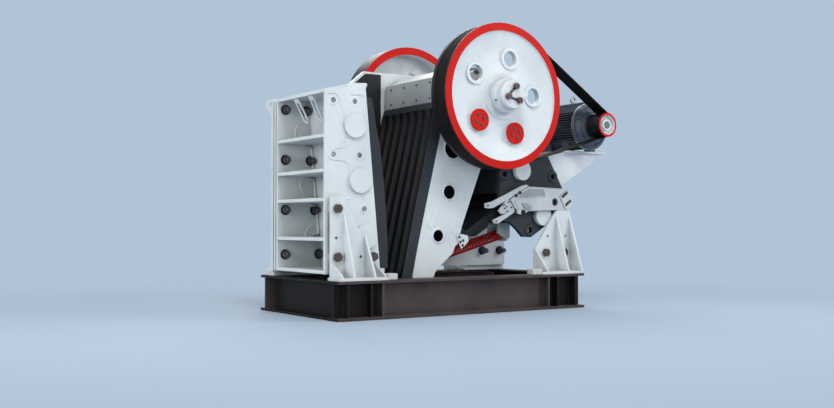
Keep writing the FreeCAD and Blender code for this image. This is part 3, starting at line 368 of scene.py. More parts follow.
def disc(radius: float, thick: float, segments: int) -> Surface:
    """Plain round disc that stands on Z = 0."""
    return turned([(0.0, 0.0), (radius, 0.0), (radius, thick), (0.0, thick)], segments)


def flat_washer(radius: float, thick: float) -> Surface:
    """Washer with slightly broken edges, shown without its hole."""
    return turned([(0.0, 0.0), (radius * 0.985, 0.0), (radius, thick * 0.2), (radius, thick * 0.8),
                   (radius * 0.985, thick), (0.0, thick)], 40)


def hexagon(angle: np.ndarray, radius: np.ndarray) -> np.ndarray:
    """Cut a circle down to a hexagon: the smaller of it and flat / cos(angle from the nearest flat)."""
    flat = radius.max() * math.cos(math.pi / 6)
    across = np.mod(angle, math.pi / 3) - math.pi / 6
    return np.minimum(radius, flat / np.cos(across))


def hex_bolt(corner: float, height: float, washer: float = 0.0, washer_thick: float = 0.006) -> Surface:
    """Hexagon head with a chamfered crown, on a washer if one is asked for.

    Args:
        corner: radius over the corners.
        height: height of the head.
        washer: radius of the washer, none at zero.
        washer_thick: thickness of the washer.

    Returns:
        The head, standing on the plane Z = 0 and looking up.
    """
    base = washer_thick if washer else 0.0
    head = turned([(0.0, base), (corner, base), (corner, base + height * 0.9), (corner * 0.93, base + height),
                   (0.0, base + height)], 36, hexagon)
    return together([flat_washer(washer, base), head]) if washer else head


def nut_on_stud(corner: float, washer: float, stud: float, reach: float) -> tuple[Surface, Surface]:
    """Large washer, and the hexagon nut on it with the stud's chamfered end standing out.

    Args:
        corner: radius of the nut over its corners.
        washer: radius of the washer.
        stud: radius of the stud.
        reach: length of the stud past the nut.

    Returns:
        The washer, and the nut with the stud.
    """
    thick, tall, chamfer = 0.012, corner * 1.05, 0.004
    tip = thick + tall + reach
    end = turned([(0.0, thick), (stud, thick), (stud, tip - chamfer), (stud - chamfer, tip), (0.0, tip)], 24)
    return flat_washer(washer, thick), together([hex_bolt(corner, tall).moved((0.0, 0.0, thick)), end])


def cap_screw(radius: float, height: float) -> Surface:
    """Small round screw head with a socket sunk in its crown."""
    socket = radius * 0.5
    outside = [(0.0, 0.0), (radius, 0.0), (radius, height * 0.85), (radius * 0.9, height), (socket, height)]
    return turned(outside + [(socket, height * 0.45), (0.0, height * 0.45)], 18)


def carried(profile: np.ndarray, path: np.ndarray, side: np.ndarray, lift: np.ndarray, loop: bool) -> Surface:
    """Closed outline carried along a path: point = path + u * side + v * lift for each outline pair (u, v).

    Args:
        profile: outline pairs, (n, 2).
        path: points along the path, (m, 3).
        side: direction of u, one for all or one at each path point.
        lift: direction of v, one for all or one at each path point.
        loop: the path closes on itself.

    Returns:
        The surface, its ends closed by flat faces where the path is open.
    """
    rows, columns = len(path), len(profile)
    side, lift = np.broadcast_to(side, (rows, 3)), np.broadcast_to(lift, (rows, 3))
    points = (path[:, None, :] + profile[None, :, :1] * side[:, None, :]
              + profile[None, :, 1:] * lift[:, None, :]).reshape(-1, 3)
    faces = grid_faces(rows, columns, loop, True)
    if not loop:
        faces += end_faces(rows, columns)
    return Surface(points, faces)


def end_faces(rows: int, columns: int) -> list:
    """The first and the last row of a grid as two faces that look apart."""
    return [list(range(columns))[::-1], list(range((rows - 1) * columns, rows * columns))]


def plate(outline: Sequence[Pair], low: float, high: float) -> Surface:
    """Outline in X and Z carried straight along Y from low to high."""
    path = np.array([(0.0, low, 0.0), (0.0, high, 0.0)])
    return carried(np.array(outline), path, np.array(Axis.RIGHT.value), np.array(Axis.UP.value), False)


def block(x: Pair, z: Pair, y: Pair) -> Surface:
    """Square block between two values of X, of Z and of Y."""
    return plate([(x[0], z[0]), (x[1], z[0]), (x[1], z[1]), (x[0], z[1])], *y)


def box_outline(half_u: float, half_v: float) -> np.ndarray:
    """Corners of a rectangle about the origin."""
    return np.array([(-half_u, -half_v), (half_u, -half_v), (half_u, half_v), (-half_u, half_v)])


def around(count: int) -> np.ndarray:
    """Angles evenly round a circle, from zero."""
    return np.arange(count) * math.tau / count


def loop_path(middle_point: Sequence[float], radius: float, count: int) -> np.ndarray:
    """Circle round an axis along Y: (x + r cos a, y, z + r sin a) for each angle a."""
    x, y, z = middle_point
    angle = around(count)
    return np.stack([x + radius * np.cos(angle), np.full(count, y), z + radius * np.sin(angle)], axis=1)


def circle(radius: float, count: int) -> np.ndarray:
    """Pairs (r cos a, r sin a) evenly round a circle."""
    return radius * np.stack([np.cos(around(count)), np.sin(around(count))], axis=1)


def tube_along(path: np.ndarray, radius: float, sides: int, loop: bool) -> Surface:
    """Round wire along a path: its side and lift directions are square to the path's own direction."""
    ahead = np.gradient(path, axis=0) if not loop else np.roll(path, -1, 0) - np.roll(path, 1, 0)
    ahead /= np.linalg.norm(ahead, axis=1, keepdims=True)
    guess = np.cross(ahead, (0.0, 1.0, 0.0) if abs(ahead[:, 1]).mean() < 0.7 else (1.0, 0.0, 0.0))
    side = guess / np.linalg.norm(guess, axis=1, keepdims=True)
    return carried(circle(radius, sides), path, side, np.cross(ahead, side), loop)


def rounded_line(points: Sequence[Pair], radius: float, steps: int = 5) -> np.ndarray:
    """Round the corners of a line of pairs with quadratic curves that start a radius from each corner."""
    pts = np.array(points, float)
    made = [pts[:1]]
    share = np.linspace(0.0, 1.0, steps)[:, None]
    for before, corner, after in zip(pts[:-2], pts[1:-1], pts[2:]):
        a, b = before - corner, after - corner
        length_a, length_b = np.linalg.norm(a), np.linalg.norm(b)
        start = corner + a / length_a * min(radius, length_a * 0.45)
        end = corner + b / length_b * min(radius, length_b * 0.45)
        made.append((1 - share) ** 2 * start + 2 * share * (1 - share) * corner + share ** 2 * end)
    made.append(pts[-1:])
    return np.concatenate(made)


# ---------------------------------------------------------------- pieces


FLAT_ANGLE = math.radians(0.4)


def clean(mesh: bpy.types.Mesh, flatten: float = 0.0) -> None:
    """Weld doubled points, drop empty faces and turn the faces outwards.

    Args:
        mesh: the mesh to clean.
        flatten: joins faces of one finish that meet at less than this angle, in radians; none at zero.
    """
    work = bmesh.new()
    work.from_mesh(mesh)
    bmesh.ops.remove_doubles(work, verts=work.verts, dist=2e-6)
    bmesh.ops.dissolve_degenerate(work, edges=work.edges, dist=1e-6)
    if flatten:
        bmesh.ops.dissolve_limit(work, angle_limit=flatten, verts=work.verts, edges=work.edges,
                                 delimit={"MATERIAL"})
    bmesh.ops.recalc_face_normals(work, faces=work.faces)
    work.to_mesh(mesh)
    work.free()


def soften(piece: bpy.types.Object, width: float, angle: float = math.radians(32.0)) -> None:
    """Round a piece's edges and shade it smooth up to the same angle.

    Args:
        piece: the object.
        width: width of the rounding; none at zero.
        angle: edges sharper than this are rounded.
    """
    for face in piece.data.polygons:
        face.use_smooth = True
    piece.data.set_sharp_from_angle(angle=angle)
    if width:
        edge = piece.modifiers.new("soft_edges", "BEVEL")
        edge.width = width
        edge.segments = 2
        edge.limit_method = "ANGLE"
        edge.angle_limit = angle
        edge.harden_normals = True
        edge.miter_outer = "MITER_ARC"


def linked(name: str, data: object) -> bpy.types.Object:
    """Make an object and put it in the scene."""
    made = bpy.data.objects.new(name, data)
    bpy.context.scene.collection.objects.link(made)
    return made


def piece_of(name: str, parts: Iterable[Surface], finish: Finish, edge: float = 0.0,
             body: str | None = "frame", stands_for: str | None = None) -> bpy.types.Object:
    """Make a piece from surfaces.

    Args:
        name: the piece's name.
        parts: its surfaces, already in place.
        finish: its finish.
        edge: width of the rounding on its sharp edges.
        body: CAD body it rides on, or none to leave the piece loose.
        stands_for: CAD node that it replaces, if any; that node is hidden.

    Returns:
        The new object.
    """
    surface = together(parts)
    mesh = bpy.data.meshes.new(name)
    mesh.from_pydata(surface.points.tolist(), [], surface.faces)
    clean(mesh)
    made = linked(name, mesh)
    mesh.materials.append(finish.material())
    soften(made, edge)
    if body:
        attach(made, body)
    if stands_for:
        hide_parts(stands_for)
    return made


def dressed(names: str, finishes: Sequence[Finish], edge: float = 0.004, choose: Chooser | None = None,
            body: str = "frame") -> None:
    """Stand a soft-edged copy of each CAD node in its place.

    Args:
        names: the CAD nodes, parted by blanks.
        finishes: the finishes they wear.
        edge: width of the rounding on their sharp edges.
        choose: gives each face's finish from the faces' centres and normals; the first finish if left out.
        body: CAD body they ride on.
    """
    for name in names.split():
        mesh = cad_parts[name].data.copy()
        mesh.name = name + "_shell"
        made = linked(name + "_shell", mesh)
        mesh.materials.clear()
        for finish in finishes:
            mesh.materials.append(finish.material())
        wanted = np.zeros(len(mesh.polygons), np.int32)
        if choose:
            centres = np.array([face.center for face in mesh.polygons])
            normals = np.array([face.normal for face in mesh.polygons])
            wanted = choose(centres, normals).astype(np.int32)
        mesh.polygons.foreach_set("material_index", wanted)
        clean(mesh, FLAT_ANGLE)
        soften(made, edge)
        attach(made, body)
        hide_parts(name)


def corners(name: str) -> tuple[np.ndarray, np.ndarray]:
    """Lowest and highest corner of a CAD node as arrays."""
    low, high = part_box(name)
    return np.array(low), np.array(high)


def middle(name: str) -> np.ndarray:
    """Middle of a CAD node's box."""
    return sum(corners(name)) / 2


SHAFT = middle("eccentric_shaft")
HUB = (SHAFT[0], SHAFT[2])
SHAFT_END = corners("eccentric_shaft")[1][1]
MOTOR_AXIS = middle("motor_shaft")
MOTOR_CENTRE = (MOTOR_AXIS[0], MOTOR_AXIS[2])
BASE_TOP = corners("base_beam_near")[1][2]
FRONT_X = corners("front_wall_near")[0][0]
FRONT = (FRONT_X, BASE_TOP)
REAR = (corners("rear_wall_near")[1][0], BASE_TOP)
REAR_LOW_BOLTS = ((-0.308, 0.213), (-0.062, 0.213))
WALL_FACE = 0.495
CHEEK_FACE = WALL_FACE + 0.050
BRACKET_FACE = CHEEK_FACE + 0.025


def end_outline(name: str) -> np.ndarray:
    """Outline, in X and Z, of the flat face at a CAD node's lowest Y.

    Args:
        name: a node that is one outline carried along Y.

    Returns:
        Corner pairs in order round the face, against the clock.
    """
    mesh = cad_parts[name].data.copy()
    clean(mesh, FLAT_ANGLE)
    low = min(v.co.y for v in mesh.vertices)
    ends = [f for f in mesh.polygons if abs(f.normal.y) > 0.99 and abs(f.center.y - low) < 1e-4]
    widest = max(ends, key=lambda f: f.area)
    outline = np.array([(mesh.vertices[i].co.x, mesh.vertices[i].co.z) for i in widest.vertices])
    after = np.roll(outline, -1, 0)
    area = np.sum(outline[:, 0] * after[:, 1] - after[:, 0] * outline[:, 1])
    return outline[::-1] if area < 0 else outline


# ---------------------------------------------------------------- base frame


@dataclass
class BaseFrame:
    """Beams, foot brackets with their bolts, and the stop blocks."""

    head_corner: float = 0.043
    head_height: float = 0.036
    head_turn: float = 0.3
    bush_radius: float = 0.034
    front_bolts: tuple[Pair, ...] = ((0.082, 0.642), (0.082, 0.208), (0.455, 0.208))
    shade_start: float = 0.995

    def build(self) -> None:
        """Dress the beams and brackets and bolt the brackets on, with turned bushes behind the near ones."""
        def shaded_end_bays(centres: np.ndarray, normals: np.ndarray) -> np.ndarray:
            """Painted shade, black, where the web lies between the stiffeners near each end."""
            return (np.abs(centres[:, 0]) > self.shade_start) & (np.abs(normals[:, 2]) < 0.5)

        # Painted shade: the end bays and the cross beams wear the black copy of the chassis enamel.
        dressed("base_beam_near base_beam_far", [CHASSIS, CHASSIS_SHADE], 0.005, shaded_end_bays)
        dressed("base_cross_beam_front base_cross_beam_rear", [CHASSIS_SHADE], 0.005)
        dressed("foot_bracket_front_near foot_bracket_front_far", [WHITE])
        dressed("foot_bracket_rear_near foot_bracket_rear_far", [WHITE])
        dressed("rubber_stops", [STOP], 0.008)
        head = hex_bolt(self.head_corner, self.head_height)
        turn, after = self.head_turn, self.head_turn * len(self.front_bolts)
        for label, side, axis in SIDES:
            heads = laid(head, self.front_bolts, FRONT, side * BRACKET_FACE, axis, 0.0, turn)
            heads += laid(head, REAR_LOW_BOLTS, REAR, side * BRACKET_FACE, axis, after, turn)
            piece_of("bracket_bolts_" + label, heads, OXIDE, 0.0015)
        bush = disc(self.bush_radius, CHEEK_FACE - WALL_FACE, 40)
        piece_of("bracket_spacers", laid(bush, self.front_bolts, FRONT, -WALL_FACE, Axis.NEAR), TURNED, 0.002)


# ---------------------------------------------------------------- fixed jaw


@dataclass
class JawDie:
    """Corrugated crushing plate: upright teeth across the width that fade out at both ends."""

    tooth_pitch: float = 0.138
    tooth_depth: float = 0.046
    steps: int = 12

    def surface(self, name: str, facing: float) -> Surface:
        """Work the plate out from the CAD plate's own outline.

        Each outline point on the chamber side moves back along its normal by depth * (1 - wave), and the wave
        is a cosine across the width with its crests and roots cut flat.

        Args:
            name: the CAD node.
            facing: sign of X on the chamber side.

        Returns:
            The plate.
        """
        low, high = corners(name)
        outline = end_outline(name)
        after = np.roll(outline, -1, 0) - outline
        outward = np.stack([after[:, 1], -after[:, 0]], axis=1)
        outward /= np.linalg.norm(outward, axis=1, keepdims=True)
        toward = outward[:, 0] * facing > 0.8
        face = toward & np.roll(toward, 1)
        normal = outward + np.roll(outward, 1, 0)
        normal /= np.linalg.norm(normal, axis=1, keepdims=True)
        teeth = max(round((high[1] - low[1]) / self.tooth_pitch), 1)
        across = np.linspace(0.0, 1.0, teeth * self.steps + 1)
        wave = np.clip(0.5 + 0.8 * np.cos(across * teeth * math.tau), 0.0, 1.0)
        sink = self.tooth_depth * (1 - wave)[:, None] * face[None, :]
        flat = outline[None, :, :] - sink[:, :, None] * normal[None, :, :]
        width = np.broadcast_to((low[1] + across * (high[1] - low[1]))[:, None], sink.shape)
        points = np.stack([flat[:, :, 0], width, flat[:, :, 1]], axis=2).reshape(-1, 3)
        return Surface(points, grid_faces(*sink.shape, False, True) + end_faces(*sink.shape))

    def build(self, name: str, body: str, facing: float) -> None:
        """Put the corrugated plate, ground at its sides, in the CAD plate's place."""
        made = piece_of(name + "_teeth", [self.surface(name, facing)], MANGANESE, 0.003, body, name)
        made.data.materials.append(GROUND.material())
        ends = [int(abs(face.normal.y) > 0.95) for face in made.data.polygons]
        made.data.polygons.foreach_set("material_index", ends)


@dataclass
class FixedJaw:
    """Front casting with its pads, nuts, links and die."""

    nut_corner: float = 0.039
    washer: float = 0.050
    hole: float = 0.026
    boss: float = 0.050
    wall: float = 0.032
    link_half: float = 0.034
    bar_half: float = 0.0075
    bar_deep: float = 0.008
    link_sides: Pair = (-0.145, 0.145)
    land: float = 0.112
    lands: tuple[Pair, ...] = ((0.304, 1.402), (0.360, 0.899), (0.422, 0.389))
    cells: tuple[Pair, ...] = ((0.384, 0.707), (0.742, 0.970), (1.005, 1.285))
    fillet: float = 0.016
    panel_height: float = 1.750
    panel_top: float = 0.334
    panel_slope: float = 0.0942
    bolt_holes: tuple[Pair, ...] = ((0.082, 1.623), (0.305, 1.623), (0.082, 1.132), (0.356, 1.132),
                                    (0.407, 0.642), (0.082, 0.642), (0.082, 0.208), (0.455, 0.208))

    def build(self) -> None:
        """Dress the casting, then add links, die, nuts, pads, reliefs and joints."""
        def inner_primer(centres: np.ndarray, normals: np.ndarray) -> np.ndarray:
            """Primer inside the cells, white outside and on the front edges."""
            inside = (np.abs(centres[:, 1]) < WALL_FACE - 0.001) & (normals[:, 0] > -0.9)
            return inside & (centres[:, 0] < 0)

        dressed("front_wall_near front_wall_far front_ribs front_panel", [WHITE, CELL], 0.006, inner_primer)
        self._lifting_links()
        JawDie().build("fixed_jaw_die", "frame", 1.0)
        self._nuts()
        self._pads()
        self._cell_relief()
        self._joints()

    def _lifting_links(self) -> None:
        """Two long links that hang from the top flange in front of the panel.

        Each is a flat bar bent round a long slot: its centre line is a racetrack, two straights of the slot's
        length joined by half circles, and a short solid neck joins it to the flange above.
        """
        top, bottom = np.array([0.036, 0.0, 1.697]), np.array([0.157, 0.0, 1.474])
        down = (bottom - top) / np.linalg.norm(bottom - top)
        width = np.array(Axis.FAR.value)
        out = np.cross(down, width)
        turn = np.linspace(0.0, math.pi, 13)[:, None]
        cap = np.cos(turn) * width + np.sin(turn) * down
        outward = np.concatenate([cap, -cap])
        ends = np.repeat([bottom - down * self.link_half, top + down * 0.060], 13, axis=0)
        bar = box_outline(self.bar_half, self.bar_deep)
        solid = box_outline(self.link_half + self.bar_half, self.bar_deep)
        link = carried(bar, ends + outward * self.link_half, outward, out, True)
        neck = carried(solid, np.array([top, top + down * 0.045]), width, out, False)
        made = [part.moved((FRONT_X, y, BASE_TOP)) for y in self.link_sides for part in (link, neck)]
        piece_of("lifting_links", made, WHITE, 0.003, stands_for="front_lifting_lugs")

    def _nuts(self) -> None:
        """Washers, nuts and stud ends on the far wall's inner face, and the heads outside the cheek plate."""
        inner = corners("front_wall_far")[0][1]
        washer, nut = nut_on_stud(self.nut_corner, self.washer, 0.022, 0.036)
        for name, part, finish in (("cell_washers", washer, JET), ("cell_nuts", nut, PHOSPHATE)):
            piece_of(name, laid(part, self.bolt_holes, FRONT, inner, Axis.NEAR, 0.0, 0.4), finish, 0.0015)
        head = hex_bolt(self.nut_corner, 0.030, self.washer * 0.85, 0.005)
        heads = laid(head, self.bolt_holes[:5], FRONT, CHEEK_FACE, Axis.FAR, 0.0, 0.3)
        piece_of("cheek_bolts_front", heads, OXIDE, 0.0015)

    def _pads(self) -> None:
        """Low machined pads: a beaded line that wanders round the bolt holes and the keys."""
        line = [(0.030, 1.684), (0.110, 1.690), (0.150, 1.640), (0.156, 1.575), (0.190, 1.530),
                (0.156, 1.420), (0.200, 1.310), (0.215, 1.215), (0.150, 1.190), (0.046, 1.178),
                (0.035, 1.112), (0.068, 1.084), (0.222, 1.079), (0.239, 1.002), (0.205, 0.914),
                (0.222, 0.826), (0.272, 0.754), (0.233, 0.727)]
        inner = [(0.272, 1.690), (0.395, 1.690), (0.412, 1.640), (0.408, 1.520)]
        beads = []
        for route in (line, inner):
            flat = rounded_line(route, 0.045)
            level = np.full(len(flat), -WALL_FACE)
            path = np.stack([FRONT_X + flat[:, 0], level, BASE_TOP + flat[:, 1]], axis=1)
            beads.append(tube_along(path, 0.0068, 8, False))
        pad = ring([(self.hole, 0.0), (self.hole, 0.005), (self.boss - 0.005, 0.005), (self.boss, 0.0)], 40)
        rim = ring([(self.boss - 0.012, 0.0), (self.boss - 0.012, 0.012), (self.boss, 0.012),
                    (self.boss, 0.0)], 48)
        beads += laid(pad, self.bolt_holes[:7], FRONT, -WALL_FACE, Axis.NEAR)
        beads += laid(rim, self.bolt_holes[5:7], FRONT, -WALL_FACE, Axis.NEAR)
        piece_of("casting_pad_lines", beads, WHITE)

    def _joints(self) -> None:
        """Grey strips of painted shade in the two upright joints between the far wall, the cheek plate and
        its flange.
        """
        across, up = (FRONT_X - 0.003, FRONT_X + 0.006), (BASE_TOP + 0.03, BASE_TOP + 1.70)
        strips = [block(across, up, (y - 0.0045, y + 0.0045)) for y in (WALL_FACE, CHEEK_FACE)]
        piece_of("cheek_joint_shade_strips", strips, JOINT_SHADE)

    def _cell_relief(self) -> None:
        """Relief inside the cells: round lands behind the keys and fillets where the panel meets the walls.

        A fillet is a round bead that follows the sloping panel and turns outward along the ribs at both ends.
        The panel's face lies at top + (height - z) * slope.
        """
        inner = WALL_FACE - self.wall
        land = ring([(self.land - 0.004, 0.0), (self.land - 0.002, 0.005), (self.land + 0.005, 0.005),
                     (self.land + 0.008, 0.0)], 72)
        beads = []
        for low, high in self.cells:
            top, bottom = high - self.fillet, low + self.fillet
            flat = rounded_line([(-0.080, top), (-0.010, top), (-0.010, bottom), (-0.080, bottom)], 0.030)
            x = FRONT_X + self.panel_top + (self.panel_height - flat[:, 1]) * self.panel_slope + flat[:, 0]
            for side in (-1, 1):
                level = np.full(len(flat), side * (inner - 0.006))
                path = np.stack([x, level, BASE_TOP + flat[:, 1]], axis=1)
                beads.append(tube_along(path, self.fillet, 10, False))
        piece_of("cell_fillets", beads, WHITE)
        piece_of("cell_relief", laid(land, self.lands, FRONT, inner, Axis.NEAR), CELL)


@dataclass
class CheekPlate:
    """Far cheek plate, its liners and the rear nuts on its inner face."""

    nut_corner: float = 0.038
    washer: float = 0.048
    liner_bolts: tuple[Pair, ...] = ((-0.60, 2.02), (-0.32, 1.90), (-0.55, 1.55), (-0.62, 1.30),
                                     (-0.60, 0.95), (-0.60, 0.60))

    def build(self) -> None:
        """Dress the plate and the liners and add their fasteners."""
        dressed("cheek_plate_far", [WHITE], 0.006)
        dressed("cheek_liners", [MANGANESE])
        washer, nut = nut_on_stud(self.nut_corner, self.washer, 0.026, 0.045)
        for name, part, finish in (("cheek_washers_rear", washer, JET), ("cheek_nuts_rear", nut, PHOSPHATE)):
            piece_of(name, laid(part, REAR_LOW_BOLTS, REAR, WALL_FACE, Axis.NEAR, 0.3), finish, 0.0015)
        face = corners("cheek_liners")[0][1]
        bolts = laid(hex_bolt(0.026, 0.008), self.liner_bolts, (0.0, 0.0), face, Axis.NEAR)
        piece_of("liner_bolts", bolts, MANGANESE, 0.001)


# ---------------------------------------------------------------- rear casting


@dataclass
class RearCasting:
    """Rear casting that carries the toggle and the motor bracket."""

    ring_outer: float = 0.068
    ring_inner: float = 0.027
    ring_bevel: float = 0.012
    ring_rise: float = 0.016
    holes: tuple[Pair, ...] = ((-0.783, 1.010), (-0.142, 1.000), (-0.455, 0.440))

    def build(self) -> None:
        """Dress the casting in slate with pale keys and add bosses and bolts."""
        def pale_keys(centres: np.ndarray, normals: np.ndarray) -> np.ndarray:
            """Pale paint on what stands out of the walls' outer faces."""
            return np.abs(centres[:, 1]) > WALL_FACE + 0.001

        dressed("rear_wall_near rear_wall_far", [SLATE, WHITE], 0.008, pale_keys)
        dressed("rear_front_panel rear_top_panel rear_back_panel rear_cross_member", [SLATE], 0.006)
        boss = ring([(self.ring_inner, 0.0), (self.ring_inner, self.ring_rise * 0.4),
                     (self.ring_inner + self.ring_bevel, self.ring_rise),
                     (self.ring_outer - self.ring_bevel, self.ring_rise), (self.ring_outer, 0.0)], 48)
        piece_of("rear_boss_rings", laid(boss, self.holes, REAR, -WALL_FACE, Axis.NEAR), SLATE, 0.002)
        head = hex_bolt(0.045, 0.030, 0.052, 0.005)
        piece_of("cheek_bolts_rear", laid(head, self.holes, REAR, CHEEK_FACE, Axis.FAR, 0.2), OXIDE, 0.0015)


# ---------------------------------------------------------------- wheels and shaft


@dataclass
class Wheels:
    """Both wheels, their plugs and end caps, the shaft and its bearing housings."""

    ring_inner: float = 0.622
    rim_start: float = 0.655
    rim_reach: float = 0.070
    plug_circle: float = 0.378
    plug_angles: Pair = (220.0, 292.0)
    plug_screw_circle: float = 0.049
    plug_screw_angles: tuple[float, ...] = (112.0, 22.0, 202.0, 292.0)
    cap_radius: float = 0.135
    cap_length: float = 0.066
    cap_bolt_circle: float = 0.080
    cap_bolt_angles: tuple[float, float, float] = (77.0, 197.0, 317.0)
    bar_half: float = 0.011
    bar_thick: float = 0.008
    key: tuple[Pair, ...] = ((0.130, -0.030), (0.172, -0.034), (0.190, -0.014), (0.190, 0.014),
                             (0.172, 0.034), (0.130, 0.030))
    key_angle: float = math.radians(5.0)
    key_height: float = 0.046
    flange_face: float = 0.065
    flange_circle: float = 0.276

    def build(self) -> None:
        """Dress the turning parts and add their small fasteners."""
        dressed("drive_sheave flywheel", [WHITE, RED, BLACK], choose=self._wheel_finish, body="rotor")
        dressed("balance_plugs", [RED], 0.003, body="rotor")
        dressed("eccentric_shaft", [TURNED], 0.002, body="rotor")
        dressed("bearing_housing_near bearing_housing_far", [WHITE], 0.006)
        self._caps()
        for label, side, axis in SIDES:
            self._fasteners(label, side, axis)
        head = hex_bolt(0.022, 0.016, 0.028, 0.004)
        face = CHEEK_FACE + self.flange_face
        for label, side, axis in SIDES:
            spots = [self._at(self.flange_circle, 22.5 + 45 * i, side, face) for i in range(8)]
            piece_of("housing_bolts_" + label, [head.moved(p, axis) for p in spots], OXIDE, 0.001)

    def _wheel_finish(self, centres: np.ndarray, normals: np.ndarray) -> np.ndarray:
        """Red on the rim's two flat faces, black round the rim and its grooves, white on the rest."""
        radius = np.hypot(centres[:, 0] - HUB[0], centres[:, 2] - HUB[1])
        outward = np.abs(centres[:, 1])
        low, high = corners("flywheel")
        end = (outward > high[1] - self.rim_reach - 0.002) | (outward < low[1] + 0.002)
        face = (np.abs(normals[:, 1]) > 0.9) & (radius > self.ring_inner) & end
        rim = (radius > self.rim_start) & ~face
        return np.where(face, 1, np.where(rim, 2, 0))

    def _at(self, circle_radius: float, degrees: float, side: int, distance: float) -> Point:
        """Point on a circle about the shaft, at a distance from the mid plane."""
        turn = math.radians(degrees)
        x, z = HUB[0] + circle_radius * math.cos(turn), HUB[1] + circle_radius * math.sin(turn)
        return (x, side * distance, z)

    def _caps(self) -> None:
        """End caps: a drum with a shallow groove near its root and a bevelled crown, in a collar."""
        r, tall = self.cap_radius, self.cap_length
        drum = turned([(0.0, 0.0), (r, 0.0), (r, 0.012), (r - 0.004, 0.014), (r - 0.004, 0.020), (r, 0.022),
                       (r, tall - 0.006), (r - 0.006, tall), (0.0, tall)], 72)
        collar = ring([(r - 0.002, 0.0), (r + 0.020, 0.0), (r + 0.020, 0.007), (r + 0.017, 0.010),
                       (r - 0.002, 0.010)], 72)
        made = [part.moved((HUB[0], side * SHAFT_END, HUB[1]), axis)
                for _, side, axis in SIDES for part in (drum, collar)]
        piece_of("end_cap_drums", made, WHITE, 0.0015, "rotor", "shaft_end_caps")

    def _fasteners(self, label: str, side: int, axis: Axis) -> None:
        """Screws on the plugs, cap bolts with the bars that lock them, the hub's key block and grease hole.

        Args:
            label: side of the machine, for the names.
            side: sign of Y on that side.
            axis: direction that looks away from the machine.
        """
        plug_face = corners("balance_plugs")[1][1]
        screw = hex_bolt(0.0125, 0.009, 0.0165, 0.003)
        screws = []
        for plug in self.plug_angles:
            x, y, z = self._at(self.plug_circle, plug, side, plug_face)
            steps = np.radians(self.plug_screw_angles)
            spots = self.plug_screw_circle * np.stack([np.cos(steps), np.sin(steps)], axis=1)
            screws += laid(screw, spots, (x, z), y, axis)
        piece_of("plug_screws_" + label, screws, OXIDE, body="rotor")
        face = SHAFT_END + self.cap_length
        places = [self._at(self.cap_bolt_circle, turn, side, face + self.bar_thick)
                  for turn in self.cap_bolt_angles]
        head = hex_bolt(0.033, 0.022)
        piece_of("cap_bolts_" + label, [head.moved(p, axis, 0.2) for p in places], OXIDE, 0.001, "rotor")
        bars = [self._bar(places[1], end, side, face) for end in (places[0], places[2])]
        piece_of("cap_locking_bars_" + label, bars, OXIDE, 0.0012, "rotor")
        ahead = np.array([math.cos(self.key_angle), math.sin(self.key_angle)])
        across = np.array([-ahead[1], ahead[0]])
        key = [np.array(HUB) + u * ahead + v * across for u, v in self.key]
        low, high = sorted((side * (SHAFT_END - 0.002), side * (SHAFT_END + self.key_height)))
        piece_of("hub_key_" + label, [plate(key, low, high)], WHITE, 0.002, "rotor")
        # A black disc of painted shade stands for the grease hole.
        hole = disc(0.011, 0.002, 24).moved(self._at(0.178, 200.0, side, SHAFT_END), axis)
        piece_of("hub_grease_hole_" + label, [hole], JET, body="rotor")

    def _bar(self, start: Point, end: Point, side: int, face: float) -> Surface:
        """Flat bar with rounded ends that joins two bolts: two half circles carried over its thickness."""
        a, b = np.array([start[0], start[2]]), np.array([end[0], end[2]])
        along = (b - a) / np.linalg.norm(b - a)
        turn = math.atan2(along[1], along[0]) + np.linspace(-math.pi / 2, math.pi / 2, 9)
        tip = np.stack([np.cos(turn), np.sin(turn)], axis=1) * self.bar_half
        low, high = sorted((side * face, side * (face + self.bar_thick)))
        return plate(np.concatenate([b + tip, a - tip]), low, high)


# ---------------------------------------------------------------- swing jaw


